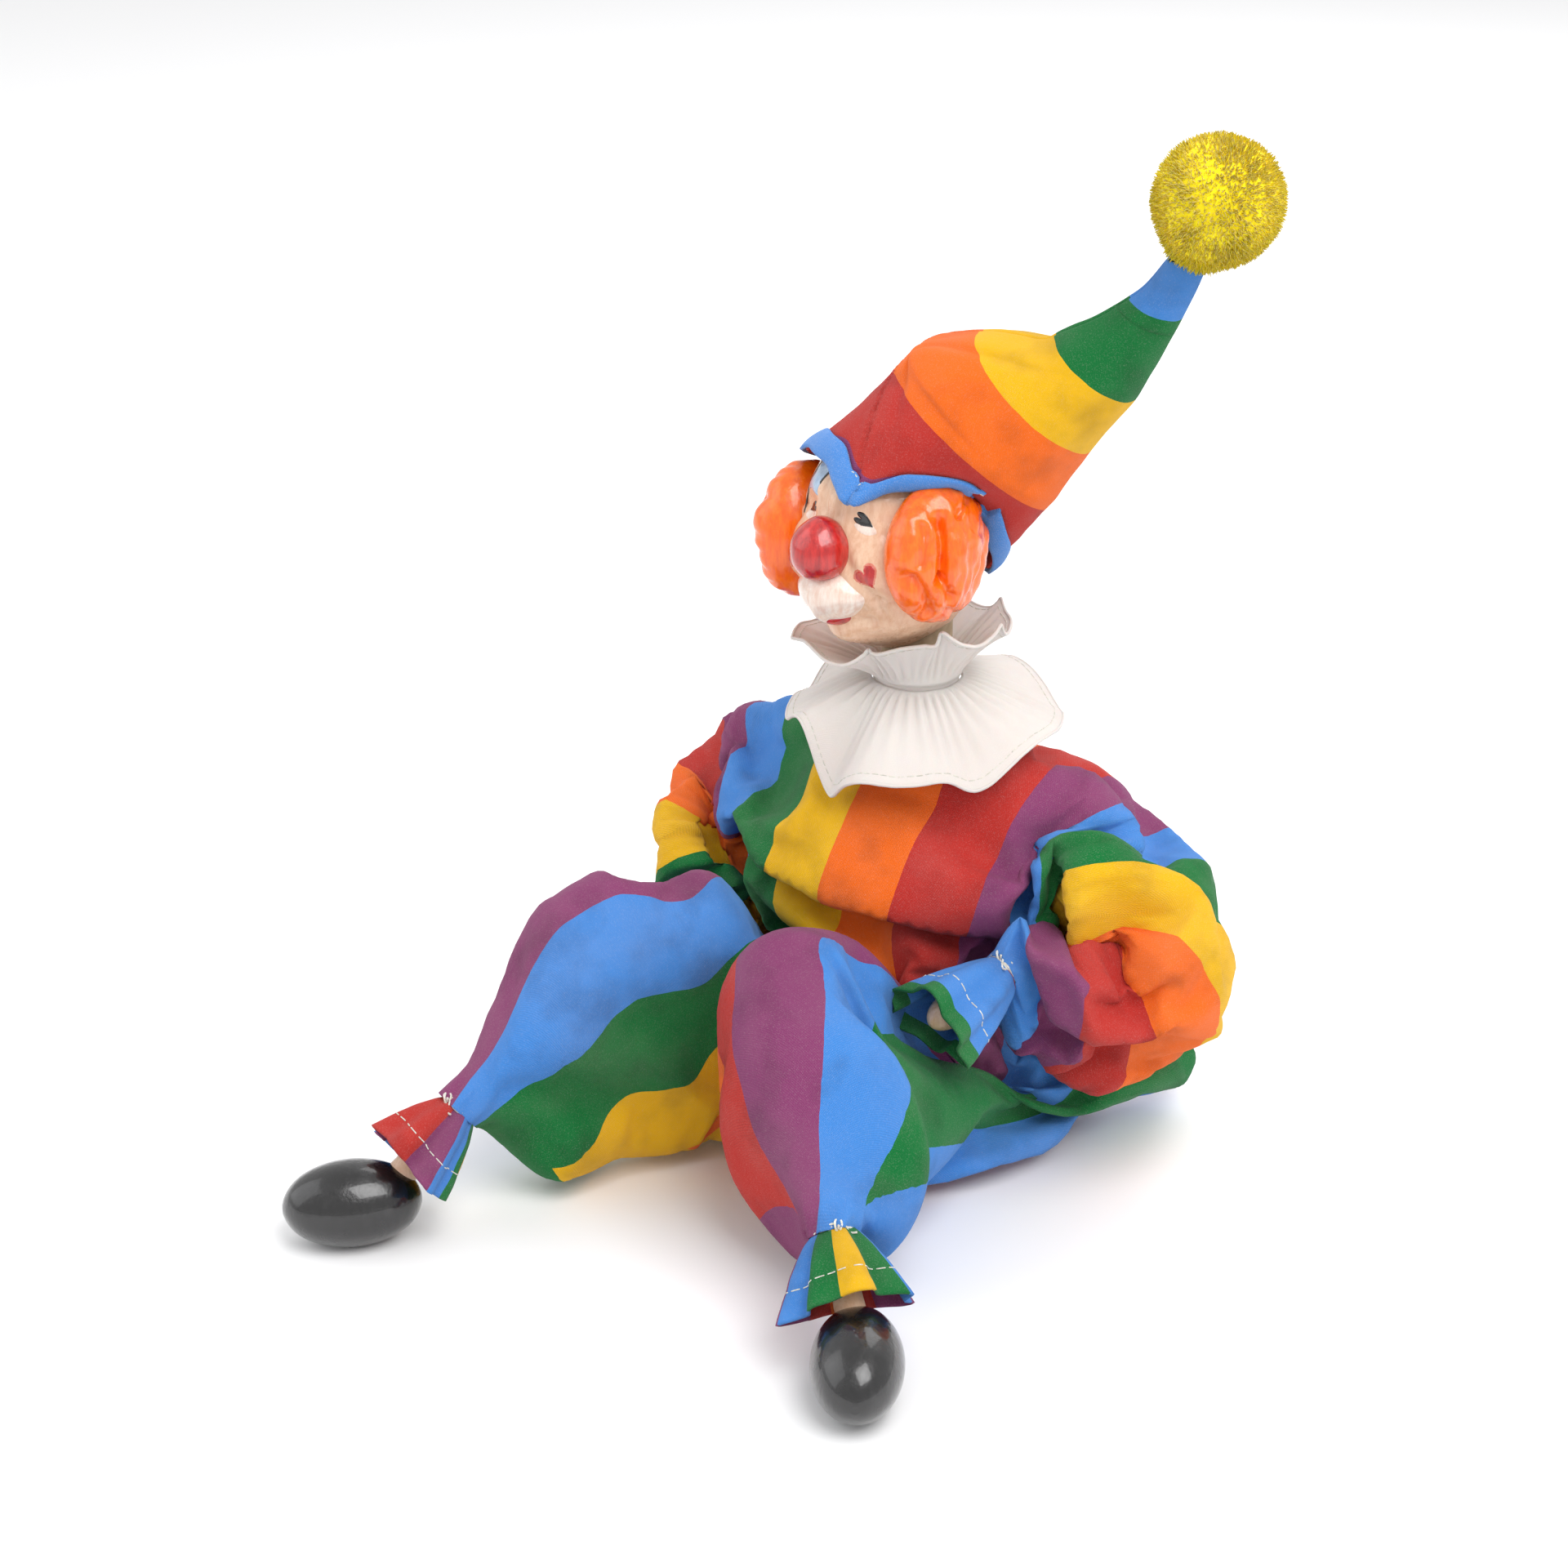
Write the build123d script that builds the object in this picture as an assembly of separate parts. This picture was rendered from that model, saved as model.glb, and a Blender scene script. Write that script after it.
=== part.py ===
"""A full-body hand puppet: a seated clown with a moulded head, a rainbow cloth romper, tied-in hands and shoes.

Frame: millimetres, +Z up, the puppet faces -Y and +X is its own left. The origin is the middle of the flat
base that it sits on. The body is hollow: the hand goes in through the base and one finger into the neck tube.
"""

import os
from math import cos, radians, sin

from build123d import *

# ---- driving dimensions ---------------------------------------------------------------------------
CLOTH = 1.4  # wall of a cloth piece, with its seam allowance
GAP = 0.4  # air between neighbouring pieces that only lie side by side
HALF_GAP = 0.3  # what each of two pieces at a bend keeps clear of the plane between them

# Outside of the romper's body: height, half width, half depth, and the middle's x and y.
BODY_RINGS = [
    (0.8, 45, 38, 0, 4),
    (22, 50, 39, 0, 4),
    (48, 42, 38, 0, 4),
    (78, 35, 36, -2, 4),
    (104, 30, 31, -4, 3),
    (122, 22, 23, -5.5, 1.5),
    (133, 16.5, 16.5, -6, 0),
]
# The channel for the hand: height, half width, half depth, and the middle's x and y.
CHANNEL_RINGS = [(0, 33, 26, 0, 4), (60, 31, 25, -1, 4), (90, 25, 21, -3, 3), (119, 14, 14, -6, 0)]
LINING = 1.2
BASE_HEIGHT = 11.0
PADDING_TOP = 118.0
BINDING_HEIGHT = 8.0

NECK_X = -6.0
TUBE_R, FINGER_R = 11.0, 9.0  # neck tube outside, and its bore for the index finger
TUBE_LOW, TUBE_HIGH = 128.0, 170.0
SOCKET_R = TUBE_R + 0.08  # running fit of the head on the tube
BINDING_LOW, BINDING_TURNS, BINDING_CORD = 135.6, 4, 0.6
BAND_LOW, BAND_HIGH, BAND_R = 143.6, 147.6, 13.4  # tape that gathers the ruff
LOWER_FRILL_R, UPPER_FRILL_R = 39.0, 33.0
LOWER_FRILL_DROP, UPPER_FRILL_RISE = 8.0, 6.5
FRILL = 1.8

HEAD = Vector(-12, -5, 192)  # middle of the skull
HEAD_TURN, HEAD_TILT, HEAD_ROLL = 8, 10, 4  # degrees: to its right, face up, left side up
SKULL_R, SKULL_HALF = 28.5, 36.0
SKULL_WALL = 3.0
SOCKET_WALL = 3.0
NOSE_R, NOSE_HALF, NOSE_PLACE = 9.2, 10.0, (0, -31, -2.5)
MUZZLE_R, MUZZLE_HALF, MUZZLE_PLACE = 8.0, 13.5, (0, -22.5, -18)
HAIR_R, HAIR_HALF, HAIR_OUT, HAIR_FRONT = 20.5, 10.5, 29.5, 12.5

HAT_START = Vector(-8, 1, 196)  # the hat's crown is round about the line from here to its bend
HAT_BEND = Vector(44, 14, 258)
CROWN_LINE = [(-40, 30), (-8, 35), (28, 33.5), (56, 25), (83, 15)]  # distance along it, and radius
HEM_MIDDLE, HEM_FACING = Vector(-11, 4, 193), Vector(0.08, 0.54, 0.84)  # plane of the hat's mouth
FILLING_LOW = 214.0
FILLING_SHORT = 17.5  # how far before the bend the wadding stops, so that the tip can swing past it
HAT_TIP = Vector(72, 20, 287)
HAT_TIP_R = 5.0
BEND_FRONT, BEND_BACK = 56.0, 83.0  # degrees off the axis to which the hat is cut away at its bend
HEM_HEIGHT = 7.0
POMPOM = Vector(79, 21, 303)
POMPOM_R = 19.5

SHOULDERS = {"left": Vector(37, 2, 112), "right": Vector(-44, 2, 108)}
ELBOWS = {"left": Vector(80, 12, 50), "right": Vector(-72, 20, 49)}
WRISTS = {"left": Vector(53, -32, 74), "right": Vector(-68, -34, 46)}
FINGERTIPS = {"left": Vector(46, -63, 66), "right": Vector(-90, -57, 47)}
ARM_R, SHOULDER_R, ELBOW_R, WRIST_R = 15.0, 9.0, 10.0, 6.0
ELBOW_TRIM = 21.5  # degrees between a sleeve's axis and the face that presses on its neighbour

HIPS = {"left": Vector(24, -37, 26), "right": Vector(-24, -37, 26)}
KNEES = {"left": Vector(23, -103, 61), "right": Vector(-50, -104, 54)}
ANKLES = {"left": Vector(61, -131, 37), "right": Vector(-66, -147, 37)}
LEG_R, HIP_R, KNEE_R, ANKLE_R = 17.0, 12.0, 14.0, 7.0
HIP_TRIM, KNEE_TRIM = 30.0, 36.0
UP = Vector(0, 0, 1)

END_GAP = 4.6  # a limb's padding stops this far short of the tie, so that the wrist can bend
TIE_R, TIE_CORD, TIE_START = 5.0, 0.8, 2.0  # the thread that gathers the cloth at a wrist or ankle
CUFF_R, CUFF_LENGTH = 13.0, 21.0
STEM_R = 3.4
HAND_R, HAND_HALF = 5.6, 10.5  # the mitten hand's half width and half length
THUMB_R, THUMB_HALF = 2.2, 5.0

SHOE_PLACES = {"left": (87, -153), "right": (-82, -181)}
SHOE_HEADINGS = {"left": 305, "right": 228}  # where each toe points, in degrees from +X
SHOE_R, SHOE_HALF = 13.3, 21.0  # the egg's thickest radius and its half length
SOLE_FLAT = 0.7  # how much of the glazed sole is flattened
HEEL_BACK = 8.0  # the stem enters the shoe this far behind its middle
ANKLE_CUFF_LENGTH = 17.0


# ---- shapes ---------------------------------------------------------------------------------------
def stack(rings, inset=0.0, low=None, high=None):
    """A solid through ellipses at rising heights, each drawn in by inset, with its ends moved if asked."""
    heights = [ring[0] for ring in rings]
    heights[0] = heights[0] if low is None else low
    heights[-1] = heights[-1] if high is None else high
    sections = []
    for height, (_, half_width, half_depth, x, y) in zip(heights, rings):
        sections.append(Pos(x, y, height) * Ellipse(half_width - inset, half_depth - inset))
    return loft(sections)


def tube_of(outer, inner):
    """The solid between two lines of (height, radius) points, turned about +Z."""
    def line(points):
        ends = [(radius, 0, height) for height, radius in points]
        return Polyline(*ends) if len(ends) < 3 else Spline(*ends)

    def across(first, second):
        return Line((first[1], 0, first[0]), (second[1], 0, second[0]))

    edges = [line(outer), across(outer[-1], inner[-1]), line(inner), across(inner[0], outer[0])]
    return revolve(make_face(Curve() + edges), Axis.Z)


def solid_of(outer):
    """The solid inside a line of (height, radius) points, turned about +Z."""
    return tube_of(outer, [(outer[0][0], 0), (outer[-1][0], 0)])


def narrowed(points, amount, shorten=0.0):
    """The same line of (height, radius) points, closer to the axis and shorter at both ends."""
    inner = [(height, radius - amount) for height, radius in points]
    inner[0] = (inner[0][0] + shorten, inner[0][1])
    inner[-1] = (inner[-1][0] - shorten, inner[-1][1])
    return inner


def spheroid(radius, half_length):
    """An egg-like solid of revolution about +Z, with a round waist, its own half length and tiny end flats."""
    angles = [radians(angle) for angle in range(-84, 85, 28)]
    return solid_of([(half_length * sin(angle), radius * cos(angle)) for angle in angles])


def round_ring(radius, cord):
    """A cord of radius cord, closed on itself around +Z."""
    return Torus(radius, cord)


def along(start, end):
    """The place at start whose +Z points at end."""
    return Plane(origin=start, z_dir=end - start).location


def half_space(point, normal):
    """A block that fills the side of a plane that its normal points to."""
    size = 500
    return Plane(origin=point, z_dir=normal).location * Pos(0, 0, size / 2) * Box(size, size, size)


def beside_bend(pivot, own_end, other_way, trim):
    """What a piece may fill at a bend: its own side of a plane trim degrees off its axis, towards other_way."""
    own = (own_end - pivot).normalized()
    hinge = Axis((0, 0, 0), own.cross(other_way.normalized()))
    normal = own.rotate(hinge, trim - 90)
    return half_space(pivot + normal * HALF_GAP, normal)


# ---- torso ----------------------------------------------------------------------------------------
def seat_base():
    """The padded ring that the puppet sits on, around the way in for the hand."""
    _, half_width, half_depth, x, y = BODY_RINGS[0]
    outside = Pos(x, y, 0) * extrude(Ellipse(half_width - 2, half_depth - 2), BASE_HEIGHT)
    outside = fillet(outside.edges().group_by(Axis.Z)[-1], 2.0)
    return outside - stack(CHANNEL_RINGS, inset=-2.2, low=-1)


def opening_binding():
    """The turned and stitched edge around the way in."""
    _, half_width, half_depth, x, y = CHANNEL_RINGS[0]
    band = Ellipse(half_width + 1.9, half_depth + 1.9) - Ellipse(half_width + 0.5, half_depth + 0.5)
    return Pos(x, y, 0.6) * extrude(band, BINDING_HEIGHT)


def hand_channel_lining():
    """The cloth tube inside the body that the hand fills."""
    return stack(CHANNEL_RINGS) - stack(CHANNEL_RINGS, inset=LINING)


def torso_padding():
    """The stuffing between the lining and the romper."""
    inside = stack(BODY_RINGS, inset=CLOTH + GAP)
    slab = Pos(0, 0, (BASE_HEIGHT + PADDING_TOP + GAP) / 2) * Box(120, 120, PADDING_TOP - BASE_HEIGHT - GAP)
    return (inside & slab) - stack(CHANNEL_RINGS, inset=-GAP, high=126)


def romper_body():
    """The romper's cloth around the body, from the base to the neck."""
    return stack(BODY_RINGS) - stack(BODY_RINGS, inset=CLOTH)


# ---- neck and ruff --------------------------------------------------------------------------------
def at_neck(height):
    """The place on the neck tube's axis at a height."""
    return Pos(NECK_X, 0, height)


def neck_tube():
    """The stiff tube that takes the finger; the head turns on its upper end."""
    height = TUBE_HIGH - TUBE_LOW
    wall = Cylinder(TUBE_R, height) - Cylinder(FINGER_R, height)
    return at_neck((TUBE_LOW + TUBE_HIGH) / 2) * wall


def neck_binding():
    """The thread wound round the romper's neck, turn on turn."""
    turns = []
    for i in range(BINDING_TURNS):
        height = BINDING_LOW + i * (2 * BINDING_CORD + 0.1)
        turns.append(at_neck(height) * round_ring(TUBE_R + BINDING_CORD + 0.1, BINDING_CORD))
    return Compound(children=turns)


def ruff_gathering_band():
    """The tape along the ruff's middle that draws both frills in."""
    height = BAND_HIGH - BAND_LOW
    wall = Cylinder(BAND_R, height) - Cylinder(TUBE_R + 0.1, height)
    return at_neck((BAND_LOW + BAND_HIGH) / 2) * wall


def frill(outer_r, rise, root_height):
    """One frill of the ruff: a shallow curved cone from the band out to its rim."""
    root_r = TUBE_R + 0.3
    middle_r = (root_r + outer_r) / 2
    below = [(root_height, root_r), (root_height + 0.35 * rise, middle_r), (root_height + rise, outer_r)]
    above = [(height + FRILL, radius) for height, radius in below]
    return at_neck(0) * tube_of(below, above)


def ruff_lower():
    """The lower frill, which falls over the shoulders."""
    return frill(LOWER_FRILL_R, -LOWER_FRILL_DROP, BAND_LOW - FRILL - GAP)


def ruff_upper():
    """The upper frill, which stands under the chin."""
    return frill(UPPER_FRILL_R, UPPER_FRILL_RISE, BAND_HIGH + GAP)


# ---- head and hat ---------------------------------------------------------------------------------
def at_head():
    """The head's own frame: +X to its left, -Y out of its face, +Z through its crown."""
    return Pos(HEAD) * Rot(0, 0, -HEAD_TURN) * Rot(-HEAD_TILT, 0, 0) * Rot(0, -HEAD_ROLL, 0)


def skull():
    """The filled skull."""
    return at_head() * spheroid(SKULL_R, SKULL_HALF)


def hair_tuft(side):
    """A moulded tuft of curls over one ear, hollowed where it meets the skull and the hat's hem."""
    tuft = Pos(side * HAIR_OUT, -HAIR_FRONT, side * 2.5) * Rot(0, 90, 0) * spheroid(HAIR_R, HAIR_HALF)
    return at_head() * tuft - skull() - (hat_solid(-CLOTH - GAP) & hem_half(False, -GAP))


def head_shell():
    """The hollow head, with the socket that turns on the neck tube."""
    inner = at_head() * spheroid(SKULL_R - SKULL_WALL, SKULL_HALF - SKULL_WALL)
    tall = 60
    middle = at_neck(TUBE_HIGH - tall / 2 + 1)
    socket = middle * Cylinder(SOCKET_R + SOCKET_WALL, tall) & skull()
    return skull() - inner + socket - middle * Cylinder(SOCKET_R, tall)


def nose():
    """The round red nose."""
    return at_head() * Pos(NOSE_PLACE) * spheroid(NOSE_R, NOSE_HALF) - skull()


def muzzle():
    """The raised white mouth patch."""
    patch = Pos(MUZZLE_PLACE) * Rot(0, 90, 0) * spheroid(MUZZLE_R, MUZZLE_HALF)
    return at_head() * patch - skull() - at_head() * Pos(NOSE_PLACE) * spheroid(NOSE_R, NOSE_HALF)


def hat_solid(inset=0.0):
    """The filled crown, drawn in by inset, down past the plane of its mouth."""
    return along(HAT_START, HAT_BEND) * solid_of(narrowed(CROWN_LINE, inset))


def hem_half(low_side, height=0.0):
    """Everything on one side of the hat's mouth, or of a plane at a height above it."""
    facing = HEM_FACING.normalized()
    return half_space(HEM_MIDDLE + facing * height, -facing if low_side else facing)


def beside_hat_bend(own_end, other_end):
    """What a piece of the hat may fill at the bend, so that the tip can flop."""
    other_way = other_end - HAT_BEND
    front = beside_bend(HAT_BEND, own_end, other_way, BEND_FRONT)
    return front & beside_bend(HAT_BEND, own_end, -other_way, BEND_BACK)


def hat_crown():
    """The hat's cloth from its hem to the bend."""
    wall = along(HAT_START, HAT_BEND) * tube_of(CROWN_LINE, narrowed(CROWN_LINE, CLOTH))
    return wall & hem_half(False) & beside_hat_bend(HAT_START, HAT_TIP)


def hat_hem_band():
    """The turned-up hem around the hat's mouth, over the crown's cloth."""
    inner, outer = narrowed(CROWN_LINE, -0.1), narrowed(CROWN_LINE, -CLOTH)
    wall = along(HAT_START, HAT_BEND) * tube_of(outer, inner)
    return wall & hem_half(False) & hem_half(True, HEM_HEIGHT)


def hat_filling():
    """The wadding that keeps the crown up, above the skull."""
    axis = (HAT_BEND - HAT_START).normalized()
    filling = hat_solid(CLOTH + GAP) & half_space(HAT_BEND - axis * FILLING_SHORT, -axis)
    filling = filling & half_space(Vector(0, 0, FILLING_LOW), UP)
    return filling - at_head() * spheroid(SKULL_R + 1, SKULL_HALF + 1)


def tip_line():
    """The hat tip's outside as (distance, radius) points from the bend."""
    return [(-6, CROWN_LINE[-1][1]), ((HAT_TIP - HAT_BEND).length, HAT_TIP_R)]


def hat_tip():
    """The narrow end of the hat, beyond the bend."""
    wall = along(HAT_BEND, HAT_TIP) * tube_of(tip_line(), narrowed(tip_line(), CLOTH))
    return wall & beside_hat_bend(HAT_TIP, HAT_START)


def hat_tip_filling():
    """The wadding in the hat's tip."""
    solid = along(HAT_BEND, HAT_TIP) * solid_of(narrowed(tip_line(), CLOTH + GAP, 2))
    return solid & beside_hat_bend(HAT_TIP, HAT_START)


def pompom():
    """The wool ball on the hat's tip, open where the tip goes in."""
    ball = Pos(POMPOM) * Sphere(POMPOM_R)
    return ball - along(HAT_BEND, HAT_TIP) * Cylinder(HAT_TIP_R + 1.2, 90)


def pompom_thread():
    """The thread that ties the pompom to the hat's tip."""
    inside = along(HAT_TIP, HAT_BEND) * Pos(0, 0, 1.2) * round_ring(HAT_TIP_R + 0.2, 0.7)
    return inside - along(HAT_BEND, HAT_TIP) * solid_of(tip_line())


# ---- arms and legs --------------------------------------------------------------------------------
def limb_line(length, start_r, most_r, end_r, end_gap):
    """A limb segment's outside as (distance, radius) points along its axis."""
    return [
        (0.5, start_r),
        (0.28 * length, 0.94 * most_r),
        (0.5 * length, most_r),
        (0.74 * length, 0.92 * most_r),
        (length - end_gap, end_r),
    ]


def limb(start, end, line, room):
    """A segment's cloth tube and the padding in it, both cut to the room they have at its bends."""
    place = along(start, end)
    cloth = place * tube_of(line, narrowed(line, CLOTH)) & room
    padding = place * solid_of(narrowed(line, CLOTH + GAP, 1.0)) & room
    return cloth, padding


def upper_arm(side):
    """The sleeve from shoulder to elbow, and its stuffing."""
    start, end = SHOULDERS[side], ELBOWS[side]
    line = limb_line((end - start).length, SHOULDER_R, ARM_R, ELBOW_R, 0.5)
    return limb(start, end, line, beside_bend(end, start, WRISTS[side] - end, ELBOW_TRIM))


def forearm(side):
    """The sleeve from elbow to the wrist tie, and its stuffing."""
    start, end = ELBOWS[side], WRISTS[side]
    line = limb_line((end - start).length, ELBOW_R, ARM_R, WRIST_R, END_GAP)
    return limb(start, end, line, beside_bend(start, end, SHOULDERS[side] - start, ELBOW_TRIM))


def thigh(side):
    """The trouser leg from hip to knee, and its stuffing."""
    start, end = HIPS[side], KNEES[side]
    line = limb_line((end - start).length, HIP_R, LEG_R, KNEE_R, 0.5)
    at_knee = beside_bend(end, start, ANKLES[side] - end, KNEE_TRIM)
    return limb(start, end, line, at_knee & beside_bend(start, end, UP, HIP_TRIM))


def shin(side):
    """The trouser leg from knee to the ankle tie, and its stuffing."""
    start, end = KNEES[side], ANKLES[side]
    line = limb_line((end - start).length, KNEE_R, LEG_R, ANKLE_R, END_GAP)
    return limb(start, end, line, beside_bend(start, end, HIPS[side] - start, KNEE_TRIM))


def tie(start, end):
    """The thread that gathers the cloth in a groove of the stem, in two turns."""
    place = along(start, end)
    turns = [place * Pos(0, 0, TIE_START + 2.1 * TIE_CORD * i) * round_ring(TIE_R, TIE_CORD) for i in range(2)]
    return Compound(children=turns)


def cuff(start, end, length, radius):
    """The frill of cloth beyond a tie, flaring to its stitched hem."""
    line = [(TIE_START + 3.7, TIE_R + 0.4), (0.62 * length, 0.86 * radius), (length, radius)]
    return along(start, end) * tube_of(line, narrowed(line, CLOTH))


def hand(side):
    """The small moulded mitten hand, with its thumb and the stem that is tied into the sleeve."""
    start, end = WRISTS[side], FINGERTIPS[side]
    reach = (end - start).length
    palm = Pos(0, 0, reach - HAND_HALF) * spheroid(HAND_R, HAND_HALF)
    thumb = Pos(HAND_R - 1, 0, reach - 13) * Rot(0, 24, 0) * spheroid(THUMB_R, THUMB_HALF)
    stem_length = reach - HAND_HALF
    stem = Pos(0, 0, stem_length / 2 + 0.5) * Cylinder(STEM_R, stem_length)
    return along(start, end) * (palm + thumb + stem)


def at_shoe(side):
    """The shoe's frame: +Z out of its toe, its middle at the origin."""
    x, y = SHOE_PLACES[side]
    return Pos(x, y, SHOE_R - SOLE_FLAT) * Rot(0, 0, SHOE_HEADINGS[side]) * Rot(0, 90, 0)


def heel(side):
    """Where the stem meets the shoe."""
    x, y = SHOE_PLACES[side]
    heading = radians(SHOE_HEADINGS[side])
    return Vector(x - HEEL_BACK * cos(heading), y - HEEL_BACK * sin(heading), SHOE_R)


def shoe(side):
    """The egg-shaped glazed shoe, flat underneath."""
    return at_shoe(side) * spheroid(SHOE_R, SHOE_HALF) & half_space(Vector(0, 0, 0), UP)


def ankle_stem(side):
    """The pale stem that rises from the shoe into the trouser leg."""
    start, end = ANKLES[side], heel(side)
    stem = along(start, end) * solid_of([(0.5, STEM_R), ((end - start).length, STEM_R + 1.6)])
    return stem - shoe(side)


def ankle_cuff(side):
    """The trouser's stitched hem beyond the ankle tie, over the top of the shoe."""
    flare = cuff(ANKLES[side], heel(side), ANKLE_CUFF_LENGTH, CUFF_R)
    return flare - at_shoe(side) * spheroid(SHOE_R + GAP, SHOE_HALF + GAP)


# ---- the whole puppet -----------------------------------------------------------------------------
def pieces():
    """Every node's name and solid."""
    yield "seat_base", seat_base()
    yield "opening_binding", opening_binding()
    yield "hand_channel_lining", hand_channel_lining()
    yield "torso_padding", torso_padding()
    yield "romper_body", romper_body()
    yield "neck_tube", neck_tube()
    yield "neck_binding", neck_binding()
    yield "ruff_gathering_band", ruff_gathering_band()
    yield "ruff_lower", ruff_lower()
    yield "ruff_upper", ruff_upper()
    yield "head_shell", head_shell()
    yield "nose", nose()
    yield "muzzle", muzzle()
    yield "hair_tuft_left", hair_tuft(1)
    yield "hair_tuft_right", hair_tuft(-1)
    yield "hat_crown", hat_crown()
    yield "hat_hem_band", hat_hem_band()
    yield "hat_filling", hat_filling()
    yield "hat_tip", hat_tip()
    yield "hat_tip_filling", hat_tip_filling()
    yield "pompom", pompom()
    yield "pompom_thread", pompom_thread()
    for side in ("left", "right"):
        for name, (cloth, padding) in (("upper_arm", upper_arm(side)), ("forearm", forearm(side))):
            yield f"{side}_{name}_sleeve", cloth
            yield f"{side}_{name}_padding", padding
        for name, (cloth, padding) in (("thigh", thigh(side)), ("shin", shin(side))):
            yield f"{side}_{name}_trouser", cloth
            yield f"{side}_{name}_padding", padding
        yield f"{side}_hand", hand(side)
        yield f"{side}_wrist_tie", tie(WRISTS[side], FINGERTIPS[side])
        yield f"{side}_sleeve_cuff", cuff(WRISTS[side], FINGERTIPS[side], CUFF_LENGTH, CUFF_R)
        yield f"{side}_shoe", shoe(side)
        yield f"{side}_ankle_stem", ankle_stem(side)
        yield f"{side}_ankle_tie", tie(ANKLES[side], heel(side))
        yield f"{side}_trouser_cuff", ankle_cuff(side)


os.makedirs("parts", exist_ok=True)
for node, shape in pieces():
    export_step(shape, f"parts/{node}.step")
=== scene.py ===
import math
import random

import bpy
import numpy as np
from mathutils import Matrix, Quaternion, Vector, geometry, noise
from mathutils.bvhtree import BVHTree


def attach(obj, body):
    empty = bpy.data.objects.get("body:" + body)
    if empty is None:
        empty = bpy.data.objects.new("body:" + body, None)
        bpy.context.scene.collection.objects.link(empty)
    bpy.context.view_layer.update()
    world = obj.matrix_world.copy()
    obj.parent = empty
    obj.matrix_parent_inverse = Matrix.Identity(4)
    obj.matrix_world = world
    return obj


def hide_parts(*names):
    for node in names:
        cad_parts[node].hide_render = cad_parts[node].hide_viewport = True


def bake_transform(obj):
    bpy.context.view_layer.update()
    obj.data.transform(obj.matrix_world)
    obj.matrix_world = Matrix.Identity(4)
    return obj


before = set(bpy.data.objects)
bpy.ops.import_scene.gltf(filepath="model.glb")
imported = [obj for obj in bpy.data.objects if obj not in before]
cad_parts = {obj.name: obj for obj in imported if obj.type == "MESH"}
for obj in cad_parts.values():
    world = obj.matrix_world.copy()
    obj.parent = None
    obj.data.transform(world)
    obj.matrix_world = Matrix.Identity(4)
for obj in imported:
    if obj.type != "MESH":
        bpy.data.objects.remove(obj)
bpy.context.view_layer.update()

# A seated clown hand puppet: striped cotton romper and hat, white ruff, glazed head, wool pompom, thread.
# Lengths in this script are millimetres in the row's frame, turned into metres where a mesh is made.
MM = 0.001
SIDES = {"left": 1, "right": -1}

# ---- places that follow the model -------------------------------------------------------------------
NECK = Vector((-6, 0, 134))
HEAD = Vector((-12, -5, 192))
HEAD_TURN, HEAD_TILT, HEAD_ROLL = 8, 10, 4
SKULL_R, SKULL_HALF = 28.5, 36.0
SHOULDERS = {"left": Vector((37, 2, 112)), "right": Vector((-44, 2, 108))}
ELBOWS = {"left": Vector((80, 12, 50)), "right": Vector((-72, 20, 49))}
WRISTS = {"left": Vector((53, -32, 74)), "right": Vector((-68, -34, 46))}
FINGERTIPS = {"left": Vector((46, -63, 66)), "right": Vector((-90, -57, 47))}
HIPS = {"left": Vector((24, -37, 26)), "right": Vector((-24, -37, 26))}
KNEES = {"left": Vector((23, -103, 61)), "right": Vector((-50, -104, 54))}
ANKLES = {"left": Vector((61, -131, 37)), "right": Vector((-66, -147, 37))}
HEELS = {"left": Vector((82, -146, 13)), "right": Vector((-77, -175, 13))}
SHOES = {"left": (Vector((87, -153, 12.6)), 305), "right": (Vector((-82, -181, 12.6)), 228)}
HAT_BEND, HAT_TIP = Vector((44, 14, 258)), Vector((72, 20, 287))
POMPOM, POMPOM_R = Vector((79, 21, 303)), 19.0

# ---- colours, linear ----------------------------------------------------------------------------------
ORANGE = (0.90, 0.15, 0.008)
RED = (0.52, 0.030, 0.022)
PURPLE = (0.25, 0.048, 0.15)
BLUE = (0.06, 0.25, 0.68)
GREEN = (0.002, 0.17, 0.035)
YELLOW = (0.84, 0.47, 0.005)
STRIPES = [ORANGE, RED, PURPLE, BLUE, GREEN, YELLOW]  # across the cloth, 25 mm each
STRIPE = 25.0
STRIPE_START = -6.5  # where the first stripe begins on the romper's pattern
WHITE_COTTON = (0.80, 0.74, 0.70)
THREAD = (0.80, 0.76, 0.68)


# ---- shapes ---------------------------------------------------------------------------------------------
def mesh_piece(name, points, faces):
    """A smooth mesh object from points in millimetres."""
    mesh = bpy.data.meshes.new(name)
    mesh.from_pydata([tuple(Vector(p) * MM) for p in points], [], faces)
    mesh.shade_smooth()
    piece = bpy.data.objects.new(name, mesh)
    bpy.context.scene.collection.objects.link(piece)
    return piece


def level_square(name, reach):
    """A flat square on the ground, reaching so far to each side."""
    corners = [(-reach, -reach, 0), (reach, -reach, 0), (reach, reach, 0), (-reach, reach, 0)]
    return mesh_piece(name, corners, [(0, 1, 2, 3)])


def grid_faces(rows, columns, closed=True):
    """Quads of a grid of points, whose rows are closed rings or open strips."""
    faces = []
    for i in range(rows - 1):
        for j in range(columns if closed else columns - 1):
            k = (j + 1) % columns
            faces.append((i * columns + j, i * columns + k, (i + 1) * columns + k, (i + 1) * columns + j))
    return faces


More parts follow.
